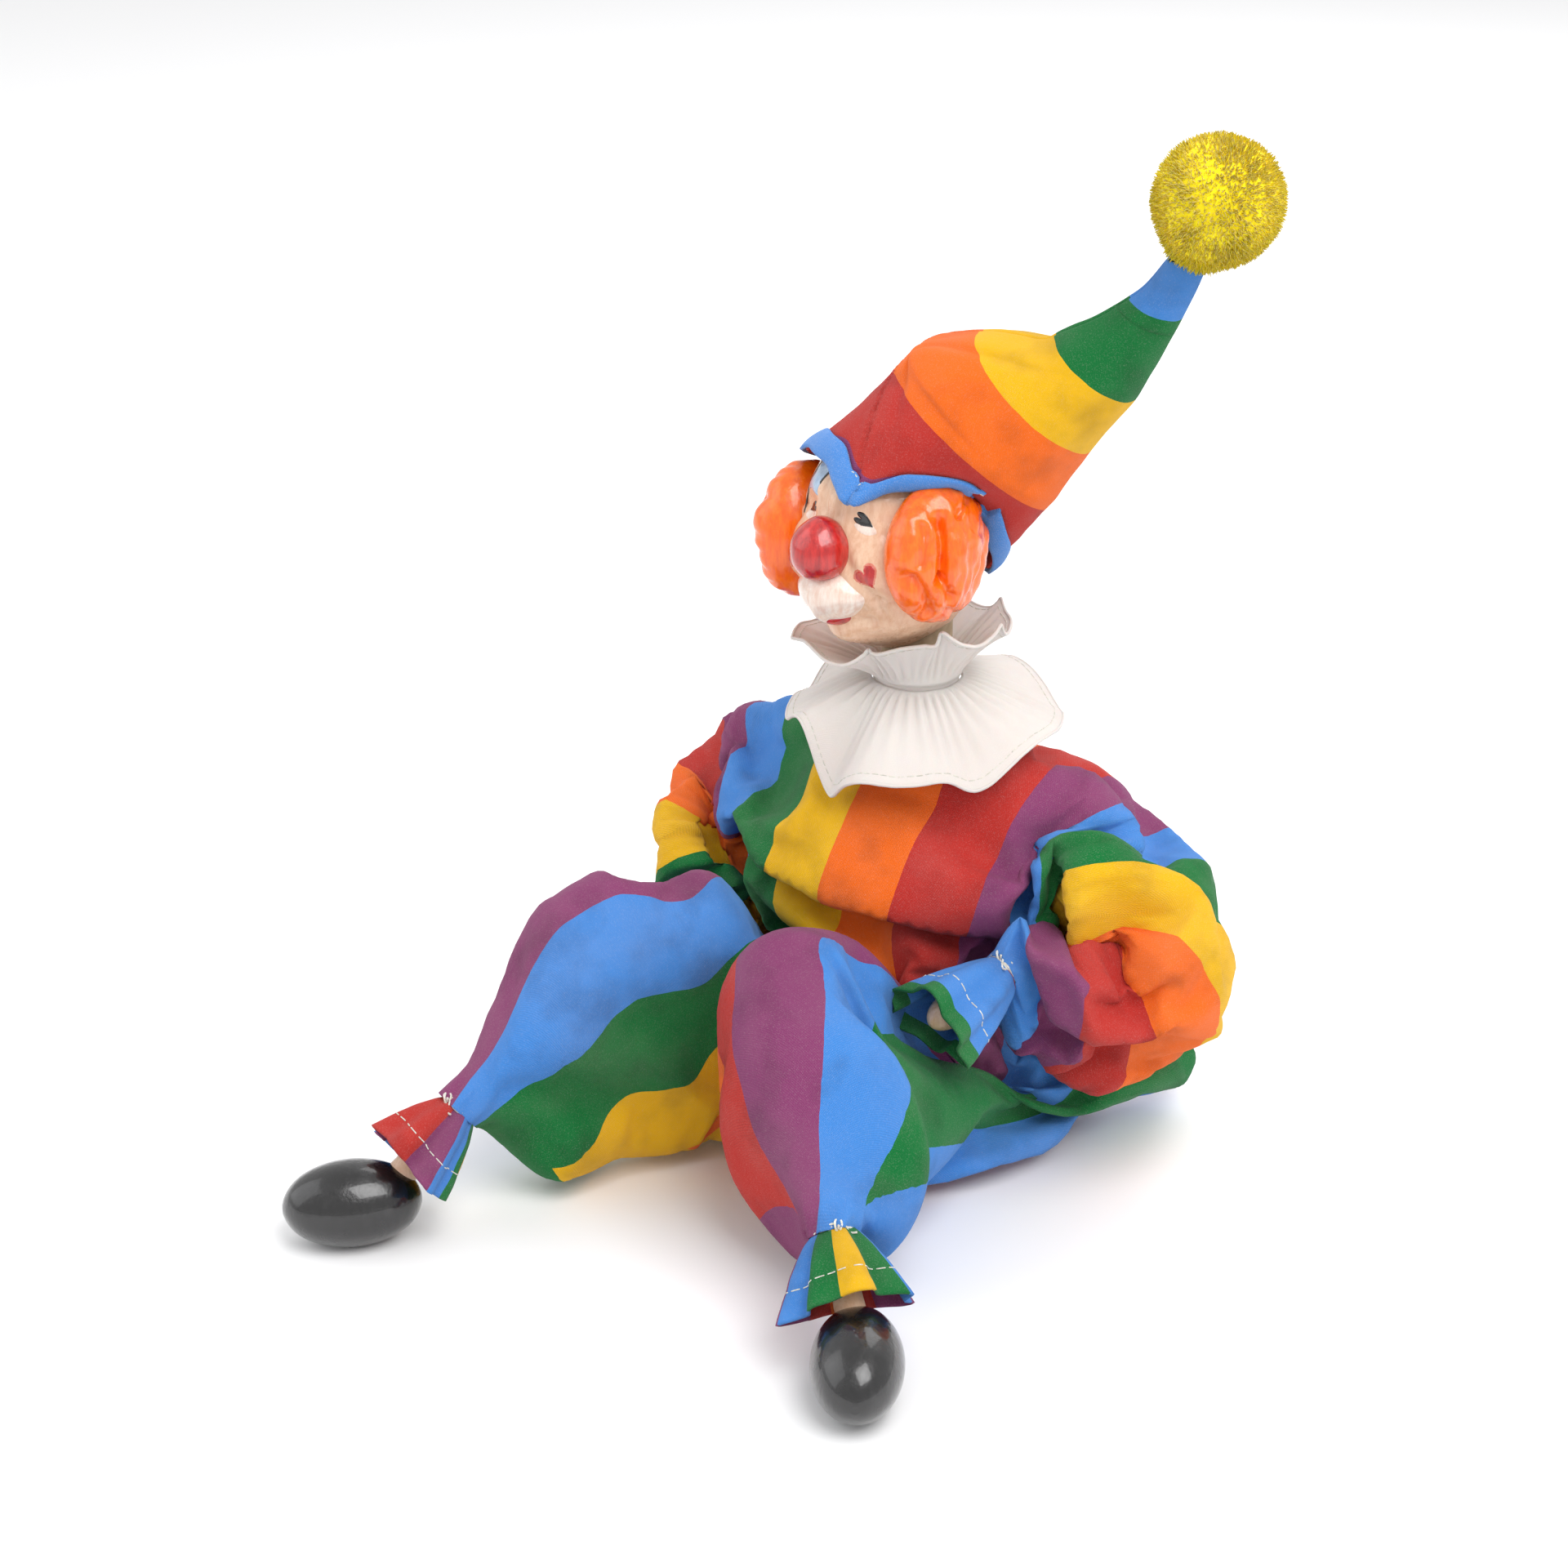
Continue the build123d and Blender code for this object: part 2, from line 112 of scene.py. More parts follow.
def curve_through(points, t):
    """The point at t, from 0 to 1, of a smooth curve through evenly timed points."""
    at = min(max(t, 0.0), 1.0) * (len(points) - 1)
    i = min(int(at), len(points) - 2)
    f = at - i
    before = points[i - 1] if i else points[0] * 2 - points[1]
    after = points[i + 2] if i + 2 < len(points) else points[-1] * 2 - points[-2]
    a, b = points[i], points[i + 1]
    bend = (before * 2 - a * 5 + b * 4 - after) * f * f + (a * 3 - b * 3 + after - before) * f * f * f
    return (a * 2 + (b - before) * f + bend) * 0.5


def smooth(t):
    """0 before 0, 1 after 1, and an easy turn between."""
    t = max(0.0, min(1.0, t))
    return t * t * (3 - 2 * t)


def applied(piece):
    """The piece with its modifiers made into mesh."""
    mesh = bpy.data.meshes.new_from_object(piece.evaluated_get(bpy.context.evaluated_depsgraph_get()))
    piece.modifiers.clear()
    piece.data = mesh
    mesh.shade_smooth()
    return piece


def thicken(piece, thickness):
    """Gives a sheet its thickness, in millimetres, half to each side."""
    solid = piece.modifiers.new("thickness", "SOLIDIFY")
    solid.thickness = thickness * MM
    solid.offset = 0
    return applied(piece)


def dress(piece, body, slot, material, *nodes):
    """Gives a piece its material and the body that it rides on, and hides the CAD nodes that it stands for."""
    piece.data.materials.clear()
    piece.data.materials.append(material)
    if body:
        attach(piece, body)
    if nodes:
        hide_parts(*nodes)
    return piece


def head_frame():
    """The head's own frame, in millimetres: +X to its left, -Y out of its face, +Z through its crown."""
    turn = Matrix.Rotation(math.radians(-HEAD_TURN), 4, "Z")
    tilt = Matrix.Rotation(math.radians(-HEAD_TILT), 4, "X")
    roll = Matrix.Rotation(math.radians(-HEAD_ROLL), 4, "Y")
    return Matrix.Translation(HEAD) @ turn @ tilt @ roll


AT_HEAD = head_frame()


def lump(point, scale, seed=0.0):
    """Smooth noise from about -1 to 1 at a point, with lumps about scale millimetres across."""
    return noise.noise(Vector(point) / scale + Vector((seed, seed * 1.7, -seed)))


def bump_at(distance, radius):
    """A round bump's share at a distance from its middle."""
    return math.exp(-((distance / radius) ** 2))


def to_segment(point, a, b):
    """Distance from a point to the segment from a to b."""
    along = b - a
    t = max(0.0, min(1.0, (point - a).dot(along) / along.length_squared))
    return (point - a - along * t).length


def ring(place, across, other, radius, count, turned_by=0.0):
    """Points round a place, in the plane of two directions."""
    angles = [2 * math.pi * i / count + turned_by for i in range(count)]
    return [place + (across * math.cos(angle) + other * math.sin(angle)) * radius for angle in angles]


def capsule(start, end, radius, sides=6):
    """Points and faces of a short thread end to end, with pointed ends."""
    way = (end - start).normalized()
    across = way.orthogonal().normalized()
    other = way.cross(across)
    points = [start - way * radius]
    for place in (start, end):
        points += ring(place, across, other, radius, sides)
    points.append(end + way * radius)
    last = len(points) - 1
    faces = []
    for i in range(sides):
        k = (i + 1) % sides
        faces += [(0, 1 + k, 1 + i), (1 + i, 1 + k, 1 + sides + k, 1 + sides + i)]
        faces.append((last, 1 + sides + i, 1 + sides + k))
    return points, faces


def closed_ball(rows, columns, place_of):
    """Points and faces of a closed ball-like form; place_of gives the place for each unit direction."""
    points = []
    for i in range(rows):
        polar = math.pi * (i + 0.5) / rows
        for j in range(columns):
            angle = 2 * math.pi * j / columns
            unit = Vector((math.sin(polar) * math.cos(angle), math.sin(polar) * math.sin(angle), math.cos(polar)))
            points.append(place_of(unit))
    faces = [face[::-1] for face in grid_faces(rows, columns)]
    faces.append(tuple(range(columns)))
    faces.append(tuple((rows - 1) * columns + j for j in range(columns))[::-1])
    return points, faces


def joined(parts):
    """One list of points and one of faces from many."""
    points, faces = [], []
    for some, theirs in parts:
        shift = len(points)
        points += some
        faces += [tuple(i + shift for i in face) for face in theirs]
    return points, faces


def stitches(name, line, length=2.3, gap=1.1, radius=0.22, lift=0.12):
    """Running stitches along a line of (place, outward direction) pairs."""
    places = [place for place, _ in line]
    run = [0.0]
    for a, b in zip(places, places[1:]):
        run.append(run[-1] + (b - a).length)

    def at(distance):
        i = max(0, min(len(run) - 2, int(np.searchsorted(run, distance)) - 1))
        share = (distance - run[i]) / max(run[i + 1] - run[i], 1e-6)
        place = places[i].lerp(places[i + 1], share)
        return place + line[i][1].lerp(line[i + 1][1], share).normalized() * lift

    parts = []
    along = 0.4
    while along + length < run[-1]:
        middle = at(along + length / 2)
        parts.append(capsule(at(along), middle, radius))
        parts.append(capsule(middle, at(along + length), radius))
        along += length + gap
    return mesh_piece(name, *joined(parts))


def wound_thread(name, path, radius, sides=8):
    """A closed-ended tube of thread along a list of points."""
    points, faces = [], []
    across = (path[1] - path[0]).orthogonal().normalized()
    for i, place in enumerate(path):
        way = (path[min(i + 1, len(path) - 1)] - path[max(i - 1, 0)]).normalized()
        across = (across - way * across.dot(way)).normalized()
        points += ring(place, across, way.cross(across), radius, sides)
    faces = grid_faces(len(path), sides)
    faces.append(tuple(range(sides))[::-1])
    faces.append(tuple(len(points) - sides + j for j in range(sides)))
    return mesh_piece(name, points, faces)


# ---- materials ------------------------------------------------------------------------------------------
class Nodes:
    """A material's node tree, with short calls for the nodes used here."""

    def __init__(self, name):
        self.material = bpy.data.materials.new(name)
        self.material.use_nodes = True
        self.tree = self.material.node_tree
        self.shader = self.tree.nodes["Principled BSDF"]

    def link(self, value, socket):
        if isinstance(value, bpy.types.NodeSocket):
            self.tree.links.new(value, socket)
        else:
            socket.default_value = value

    def add(self, kind, *values, **settings):
        """A node of a kind, its first inputs given in order; its first output is returned."""
        node = self.tree.nodes.new(kind)
        for key, value in settings.items():
            setattr(node, key, value)
        for value, socket in zip(values, node.inputs):
            if value is not None:
                self.link(value, socket)
        return node.outputs[0]

    def math(self, operation, a, b=0.0):
        return self.add("ShaderNodeMath", a, b, operation=operation)

    def place(self):
        """Object coordinates, in metres."""
        node = self.tree.nodes.new("ShaderNodeTexCoord")
        return node.outputs["Object"]

    def pattern(self):
        """The across and along coordinates on the flat cloth, in metres."""
        uv = self.add("ShaderNodeUVMap", uv_map="pattern")
        node = self.tree.nodes.new("ShaderNodeSeparateXYZ")
        self.tree.links.new(uv, node.inputs[0])
        return node.outputs[0], node.outputs[1]

    def noise(self, scale, detail=2.0, rough=0.5, vector=None):
        node = self.tree.nodes.new("ShaderNodeTexNoise")
        self.link(vector if vector else self.place(), node.inputs["Vector"])
        node.inputs["Scale"].default_value = scale
        node.inputs["Detail"].default_value = detail
        node.inputs["Roughness"].default_value = rough
        return node.outputs["Fac"]

    def mix(self, share, a, b):
        node = self.tree.nodes.new("ShaderNodeMix")
        node.data_type = "RGBA"
        self.link(share, node.inputs[0])
        for value, socket in ((a, node.inputs[6]), (b, node.inputs[7])):
            self.link((*value, 1) if isinstance(value, tuple) and len(value) == 3 else value, socket)
        return node.outputs[2]

    def spread(self, value, low, high, to_low=0.0, to_high=1.0):
        node = self.tree.nodes.new("ShaderNodeMapRange")
        for item, socket in zip((value, low, high, to_low, to_high), node.inputs):
            self.link(item, socket)
        return node.outputs[0]

    def bump(self, height, strength, distance, normal=None):
        node = self.tree.nodes.new("ShaderNodeBump")
        node.inputs["Strength"].default_value = strength
        node.inputs["Distance"].default_value = distance
        self.link(height, node.inputs["Height"])
        if normal:
            self.link(normal, node.inputs["Normal"])
        return node.outputs[0]

    def done(self, colour, roughness, normal=None, **constants):
        self.link((*colour, 1) if isinstance(colour, tuple) else colour, self.shader.inputs["Base Color"])
        self.link(roughness, self.shader.inputs["Roughness"])
        if normal:
            self.link(normal, self.shader.inputs["Normal"])
        for key, value in constants.items():
            self.shader.inputs[key.replace("_", " ")].default_value = value
        return self.material


def weave(n, across, along, pitch):
    """Height of a plain weave, from 0 to 1."""
    turn = 2 * math.pi / (pitch * MM)
    one = n.math("SINE", n.math("MULTIPLY", across, turn))
    two = n.math("SINE", n.math("MULTIPLY", along, turn))
    return n.spread(n.math("MULTIPLY", one, two), -1, 1)


def striped_cotton(name):
    """Printed rainbow cotton: 25 mm stripes across the pattern, plain weave, rubbed and slightly faded, with painted
    shade in the weave's hollows.
    """
    n = Nodes(name)
    across, along = n.pattern()
    wobble = n.math("MULTIPLY", n.math("SUBTRACT", n.noise(160, 3), 0.5), 0.0006)
    start = n.math("ADD", n.math("ADD", across, wobble), 4 * 6 * STRIPE * MM - STRIPE_START * MM)
    share = n.math("FRACT", n.math("DIVIDE", start, 6 * STRIPE * MM))
    ramp = n.tree.nodes.new("ShaderNodeValToRGB")
    ramp.color_ramp.interpolation = "CONSTANT"
    stops = ramp.color_ramp.elements
    while len(stops) < len(STRIPES):
        stops.new(0.99)
    for i, colour in enumerate(STRIPES):
        stops[i].position = i / len(STRIPES)
        stops[i].color = (*colour, 1)
    n.tree.links.new(share, ramp.inputs[0])
    colour = ramp.outputs[0]
    threads = weave(n, across, along, 0.62)
    heather = n.noise(2600, 2, 0.7)
    faded = n.mix(n.spread(n.noise(38, 4), 0.42, 0.72, 0.0, 0.06), colour, (0.62, 0.52, 0.48))
    deeper = n.mix(n.spread(n.noise(60, 3), 0.5, 0.25, 0.0, 0.28), faded, (0.02, 0.01, 0.015))
    flecks = n.mix(n.spread(heather, 0.52, 0.72, 0.0, 0.09), deeper, (0.86, 0.80, 0.76))
    # painted shade: the weave's hollows are darkened almost to black in the colour
    colour_with_weave_shade = n.mix(n.spread(threads, 0.0, 1.0, 0.22, 0.0), flecks, (0.01, 0.008, 0.01))
    slubs = n.bump(n.noise(420, 4, 0.6), 0.25, 0.0006)
    normal = n.bump(threads, 0.55, 0.00022, slubs)
    rough = n.spread(heather, 0.2, 0.8, 0.78, 0.95)
    return n.done(colour_with_weave_shade, rough, normal, Sheen_Weight=0.06, Sheen_Roughness=0.45, Specular_IOR_Level=0.2)


def plain_cotton(name, colour, pitch=0.55, through=0.0, tint=(0.62, 0.45, 0.42)):
    """Plain-weave cotton in one dyed colour, with painted shade in the weave's hollows."""
    n = Nodes(name)
    across, along = n.pattern()
    threads = weave(n, across, along, pitch)
    blotch = n.mix(n.spread(n.noise(45, 4), 0.42, 0.7, 0.0, 0.22), colour, tint)
    fibres = n.mix(n.spread(n.noise(2400, 2, 0.7), 0.5, 0.75, 0.0, 0.18), blotch, (0.9, 0.88, 0.86))
    # painted shade: the weave's hollows take a darker copy of the colour
    colour_with_weave_shade = n.mix(n.spread(threads, 0.0, 1.0, 0.2, 0.0), fibres, tuple(c * 0.25 for c in colour))
    normal = n.bump(threads, 0.5, 0.0002, n.bump(n.noise(300, 4, 0.6), 0.25, 0.0006))
    return n.done(colour_with_weave_shade, n.spread(n.noise(900), 0.2, 0.8, 0.75, 0.95), normal, Sheen_Weight=0.2,
                  Sheen_Roughness=0.5, Specular_IOR_Level=0.25, Subsurface_Weight=through, Subsurface_Scale=0.004)


def glaze(name, colour, dark, streak=(70, 70, 12), coat=0.7, rough=0.2, chips=0.0):
    """Hand-brushed glossy paint over fired clay, pooled darker in places, with fine dust and small chips."""
    n = Nodes(name)
    mapping = n.tree.nodes.new("ShaderNodeMapping")
    n.tree.links.new(n.place(), mapping.inputs[0])
    mapping.inputs["Scale"].default_value = streak
    brush = n.noise(9.0, 6, 0.65, mapping.outputs[0])
    pooled = n.mix(n.spread(brush, 0.35, 0.62, 0.0, 0.75), dark, colour)
    pale = tuple(min(1, c * 1.35 + 0.05) for c in colour)
    light = n.mix(n.spread(n.noise(130, 5), 0.6, 0.8, 0.0, 0.35), pooled, pale)
    worn = n.math("GREATER_THAN", n.noise(330, 6, 0.75), 1.0 - chips) if chips else 0.0
    shown = n.mix(worn, light, (0.42, 0.36, 0.30))
    normal = n.bump(n.noise(95, 4, 0.55), 0.35, 0.0012, n.bump(brush, 0.3, 0.0006))
    return n.done(shown, n.spread(n.noise(210, 4), 0.3, 0.7, rough * 0.6, rough * 1.5), normal, Coat_Weight=coat,
                  Coat_Roughness=0.08, Coat_IOR=1.5)


def fibre(name, colour, deep, sheen=0.5):
    """Soft wool or thread, uneven from strand to strand."""
    n = Nodes(name)
    shade = n.mix(n.spread(n.noise(420, 4, 0.7), 0.35, 0.65), deep, colour)
    large = n.mix(n.spread(n.noise(60, 3), 0.4, 0.7, 0.0, 0.35), shade, tuple(c * 0.9 for c in colour))
    return n.done(large, 0.85, n.bump(n.noise(1500, 3), 0.4, 0.0003), Sheen_Weight=sheen, Sheen_Roughness=0.4,
                  Specular_IOR_Level=0.2, Subsurface_Weight=0.12, Subsurface_Scale=0.003)


def pasteboard(name):
    """Buff pasteboard with a wound grain."""
    n = Nodes(name)
    grain = n.add("ShaderNodeTexWave", n.place(), 60.0, 4.0, bands_direction="Z")
    colour = n.mix(n.spread(n.noise(300, 5), 0.3, 0.7), (0.36, 0.27, 0.17), (0.52, 0.42, 0.29))
    return n.done(colour, 0.8, n.bump(grain, 0.2, 0.0004))


# ---- head -------------------------------------------------------------------------------------------------
CHEEKS = [(side * 15, -22, -9) for side in (1, -1)]
BROWS = [(side * 10, -25, 13.5) for side in (1, -1)]
EYES = {"left": (11.5, -25.5, 6.5), "right": (-11.5, -25.5, 7.5)}


def round_bumps():
    """Bumps and hollows of the face: middle, radius and height."""
    for place in CHEEKS:
        yield Vector(place), 9.0, 4.2
    for place in BROWS:
        yield Vector(place), 6.0, 2.2
    for place in EYES.values():
        yield Vector(place), 5.0, -2.0
    yield Vector((0, -28, 12)), 4.0, 1.0
    yield Vector((0, -20, -28.5)), 7.5, 4.6
    yield Vector((0, -27, -13)), 9.0, 1.5


def creases():
    """Furrows of the face: a line's ends, its width and its depth."""
    for side in (1, -1):
        yield Vector((side * 3, -28, 8)), Vector((side * 4.5, -26, 17)), 1.0, -1.1
        yield Vector((side * 7.5, -29, -4)), Vector((side * 16, -21, -15)), 1.3, -1.6
        yield Vector((side * 17, -22, 4)), Vector((side * 22, -17, -5)), 1.0, -1.0
        yield Vector((side * 16, -23, 8)), Vector((side * 22, -18, 7)), 0.9, -0.7
        yield Vector((side * 15, -21, -16)), Vector((side * 17, -17, -24)), 1.2, -1.2
        yield Vector((side * 7, -27, 10.4)), Vector((side * 15, -24, 11)), 1.0, -0.8
    yield Vector((-11, -19, -23.5)), Vector((11, -19, -23.5)), 1.3, -1.6
    yield Vector((-9, -25, 19)), Vector((9, -25, 19)), 1.0, -0.7


def head_point(direction):
    """A point of the moulded face in a direction from the skull's middle, in the head's frame."""
    base = Vector((direction.x * SKULL_R, direction.y * SKULL_R, direction.z * SKULL_HALF))
    if base.y > 0:
        base.y *= 0.97
    out = direction.copy()
    rise = 0.35 * lump(base, 9) + 0.15 * lump(base, 3, 5)
    for middle, radius, height in round_bumps():
        rise += height * bump_at((base - middle).length, radius)
    for start, end, width, height in creases():
        rise += height * bump_at(to_segment(base, start, end), width * 1.35)
    narrow = 1 - 0.16 * smooth((-base.z - 24) / 12)
    return Vector((base.x * narrow, base.y * narrow, base.z)) + out * rise


def make_head(material):
    """The moulded head: puffed cheeks, brow furrows, chin and neck, one skin."""
    skin = mesh_piece("face_glazed_skin", *closed_ball(150, 200, lambda unit: AT_HEAD @ head_point(unit)))
    return dress(skin, "head", "skin_glaze", material, "head_shell")


def ball(middle, radii, shape, rows=60, columns=80):
    """A closed form about a middle, in the head's frame; shape moves each point of its unit ball."""
    def place_of(unit):
        return AT_HEAD @ (Vector(middle) + shape(unit, Vector(u * r for u, r in zip(unit, radii))))

    return closed_ball(rows, columns, place_of)


def make_nose(material):
    def shape(unit, place):
        wide = 1 + 0.10 * smooth(-unit.z) - 0.10 * smooth(unit.z)
        return Vector((place.x * wide, place.y * wide, place.z)) * (1 + 0.02 * lump(unit, 0.6))

    nose = mesh_piece("nose_glazed", *ball((0, -31.5, -2.5), (9.0, 9.4, 9.8), shape))
    return dress(nose, "head", "red_glaze", material, "nose")


def make_muzzle(material):
    """The white cushion under the nose: full in the middle, drawn to a point at each mouth corner."""
    def shape(unit, place):
        side = abs(unit.x)
        tall = 1 - 0.45 * side ** 2.5
        rise = 0.6 * side ** 2 - 1.4 * (1 - side) * bump_at(unit.x, 0.12) * (unit.z < 0)
        moved = Vector((place.x, place.y * (1 - 0.25 * side ** 2), place.z * tall + rise))
        return moved * (1 + 0.025 * lump(unit, 0.5))

    muzzle = mesh_piece("muzzle_glazed", *ball((0, -23.5, -16.0), (13.6, 10.6, 8.8), shape))
    return dress(muzzle, "head", "white_glaze", material, "muzzle")


def make_lip(material):
    def shape(unit, place):
        return Vector((place.x, place.y, place.z + 1.6 * unit.x ** 2))

    lip = mesh_piece("lower_lip_glazed", *ball((0, -21.5, -24.2), (6.6, 6.4, 2.6), shape, 24, 40))
    return dress(lip, "head", "orange_glaze", material)


# Grooves of the hair, on the tuft's outer face: ends as (to the front, up), width and depth.
HAIR_GROOVES = [
    ((9, 12), (8, -7), 1.7, -4.2),
    ((8, -7), (3, -12), 1.6, -2.2),
    ((16, -6), (7, -18), 1.5, -2.6),
    ((-3, 17), (3, 13), 1.2, -1.6),
    ((-13, 6), (-9, -10), 2.0, -1.3),
    ((14, 10), (15, -2), 1.2, -1.5),
    ((-2, 3), (-6, -6), 2.4, -0.9),
    ((1, -17), (-6, -19), 1.2, -1.4),
    ((-10, 13), (-15, 9), 1.2, -1.2),
]


def make_hair(side, material):
    """A glazed tuft of moulded curls over one ear."""
    sign = SIDES[side]

    def shape(unit, place):
        front, up = -place.y, place.z
        outer = smooth((sign * unit.x + 0.35) * 1.6)
        rise = 0.9 * lump((front, up, 0), 7, 3 * sign) + 0.45 * lump((front, up, 9), 3.2, sign)
        rise += 1.2 * abs(lump((front * 0.6, up * 0.25, 4), 2.6, 7 + sign)) - 0.5
        here = Vector((front, up, 0))
        for start, end, width, depth in HAIR_GROOVES:
            rise += depth * bump_at(to_segment(here, Vector((*start, 0)), Vector((*end, 0))), width)
        return place + unit * (rise * outer)

    middle = (sign * 27.5, -10.5, sign * 1.5 - 1.5)
    tuft = mesh_piece(f"hair_{side}_glazed", *ball(middle, (12.4, 18.6, 21.5), shape, 150, 180))
    return dress(tuft, "head", "orange_glaze", material, f"hair_tuft_{side}")


def patch(name, aim, outline, turn, surfaces, material, slot, lift, step):
    """Painted glaze on the face: the inside of an outline, laid on the surfaces found towards the skull from aim."""
    aim = Vector(aim)
    inward = (-Vector((aim.x, aim.y, 0))).normalized()
    upward = Vector((0, 0, 1))
    right = inward.cross(upward).normalized()
    spin = Matrix.Rotation(math.radians(turn), 2)
    rim = [spin @ Vector(point) for point in outline]
    low = Vector((min(p.x for p in rim), min(p.y for p in rim)))
    high = Vector((max(p.x for p in rim), max(p.y for p in rim)))
    inside = []
    for i in range(int((high.x - low.x) / step)):
        for j in range(int((high.y - low.y) / step)):
            place = low + Vector(((i + 0.5 + 0.5 * (j % 2)) * step, (j + 0.5) * step))
            if min((place - edge).length for edge in rim) > step * 0.55:
                inside.append(place)
    edges = [(i, (i + 1) % len(rim)) for i in range(len(rim))]
    flat, _, faces, _, _, _ = geometry.delaunay_2d_cdt(rim + inside, edges, [], 1, 1e-5)
    used = sorted({i for face in faces for i in face})
    order = {old: new for new, old in enumerate(used)}
    points = []
    for i in used:
        place = flat[i]
        origin = AT_HEAD @ (aim - inward * 14 + right * place.x + upward * place.y)
        way = (AT_HEAD.to_3x3() @ inward).normalized()
        hits = [tree.ray_cast(origin, way) for tree in surfaces]
        hits = [hit for hit in hits if hit[0] is not None]
        if not hits:
            points.append(origin + way * 14)
            continue
        spot, normal, _, _ = min(hits, key=lambda hit: hit[3])
        depth = min((place - edge).length for edge in rim)
        points.append(spot + normal * (lift * smooth(depth / 0.5) - 0.06 * (depth < 0.01)))
    painted = mesh_piece(name, points, [tuple(order[i] for i in face) for face in faces])
    return dress(painted, "head", slot, material)


def tree_of(*pieces):
    """Search trees of pieces, in millimetres."""
    trees = []
    for piece in pieces:
        points = [vertex.co / MM for vertex in piece.data.vertices]
        trees.append(BVHTree.FromPolygons(points, [tuple(face.vertices) for face in piece.data.polygons]))
    return trees


def heart(width, height, count=40):
    """A heart's outline about its middle, point down."""
    outline = []
    for i in range(count):
        t = 2 * math.pi * i / count
        x = math.sin(t) ** 3
        y = (13 * math.cos(t) - 5 * math.cos(2 * t) - 2 * math.cos(3 * t) - math.cos(4 * t)) / 14.5
        outline.append((x * width / 2, (y + 0.12) * height / 2))
    return outline


def leaf(width, height, count=28):
    """A pointed oval's outline."""
    outline = []
    for i in range(count):
        t = 2 * math.pi * i / count
        x = math.cos(t)
        y = math.sin(t) * (1 - abs(x) ** 3) ** 0.5
        outline.append((x * width / 2, y * height / 2))
    return outline


def brow_patch(width, low, high, count=9):
    """A rounded upright patch's outline, a little wider at the foot and uneven along it."""
    outline = [(-width * 0.55, low), (0, low + 1.3), (width * 0.5, low + 0.2), (width * 0.46, (low + high) / 2)]
    for i in range(count):
        t = math.pi * i / (count - 1)
        outline.append((width * 0.42 * math.cos(t), high + 1.6 * math.sin(t)))
    outline.append((-width * 0.5, (low + high) / 2))
    return outline


BROW_LINE = [(-0.32, -9.5), (0.32, -9.5), (0.36, 0), (0.22, 9.0), (-0.22, 9.0), (-0.30, 0)]
SHORT_LINE = [(x, y * 0.45) for x, y in BROW_LINE]
# The face's painted patches: name, where on the face, outline, turn, glaze, lift above the skin, mesh step.
FACE_PAINT = [
    ("eye_white_left", (12.0, -26, 5.0), leaf(8.2, 3.6), -12, "white", 0.14, 0.45),
    ("eye_left", (11.4, -26, 7.0), heart(4.0, 7.4), 62, "black", 0.30, 0.35),
    ("eye_white_right", (-12.0, -26, 5.4), leaf(8.0, 3.4), 12, "white", 0.14, 0.45),
    ("eye_right", (-11.4, -26, 7.4), heart(3.4, 6.6), -62, "black", 0.30, 0.35),
    ("heart_rim_left", (14.8, -25.5, -9.0), heart(8.6, 8.4), 38, "rim", 0.10, 0.45),
    ("heart_left", (14.8, -25.5, -9.0), heart(7.4, 7.2), 38, "red", 0.22, 0.4),
    ("heart_rim_right", (-14.8, -25.5, -9.0), heart(8.6, 8.4), -38, "rim", 0.10, 0.45),
    ("heart_right", (-14.8, -25.5, -9.0), heart(7.4, 7.2), -38, "red", 0.22, 0.4),
    ("brow_patch_right", (-11.0, -25, 17.5), brow_patch(9.4, -5.6, 5.0), -4, "blue", 0.18, 0.45),
    ("brow_line_outer", (-16.4, -22, 14.0), BROW_LINE, 5, "black", 0.24, 0.3),
    ("brow_line_inner", (-6.6, -26, 19.5), SHORT_LINE, -8, "black", 0.24, 0.3),
]
PAINT_SLOTS = {"rim": "skin_glaze", "blue": "white_glaze"}  # the other glazes' slots have their own names


def make_face_paint(surfaces, glazes):
    """Eyes, cheek hearts, the blue patch and the thin lines beside it."""
    for name, aim, outline, turn, paint, lift, step in FACE_PAINT:
        patch(name, aim, outline, turn, surfaces, glazes[paint], PAINT_SLOTS.get(paint, f"{paint}_glaze"), lift, step)


# ---- hat --------------------------------------------------------------------------------------------------
LEAN = Vector((0.970, 0.243, 0))  # the hat leans this way, in the plane of these stations
LEAN_ORIGIN = Vector((-8, 1, 0))
# Where the hat's outline passes: upper and lower point as (along the lean, height), depth, place on the cloth.
HAT_STATIONS = [
    ((-4, 243), (41.5, 205), 29.0, 50),
    ((2, 251), (46, 212), 28.0, 58),
    ((20, 256), (54.5, 225), 22.0, 75),
    ((44, 259.5), (67.5, 243), 13.5, 100),
    ((66, 273), (80, 268.5), 8.2, 125),
    ((76, 285), (87, 286), 5.6, 142),
]
STATION_TURNS = [38, 34, 22, 8, 0, 0]  # how far each station's lowest side lies behind the head's left
NEAR_LIFTS = [9, 7, 3, 0, 0, 0]  # how much higher each station's cloth runs in front
HAT_ROWS, HAT_COLUMNS = 130, 180
HAT_ROUND = 200.0  # the cloth's length round the head
HEM_BAND = 8.5  # width of the turned-up hem
HEM_STEPS = 9
HAT_CLOTH = 0.9  # thickness
FRONT_SEAM = 106  # angle of the hem's front point and of the seam above it
STRANDS, WOOL_SEED = 11000, 4

# Height of the hat's mouth around the head: angle and height, in the head's frame.
HEM_ANGLES = [0, 55, 85, 106, 126, 160, 186, 205, 232, 290, 325, 360]
HEM_HEIGHTS = [18, 25, 23, 12, 18.5, 21.5, 15, 1, -10, -9, 8, 18]


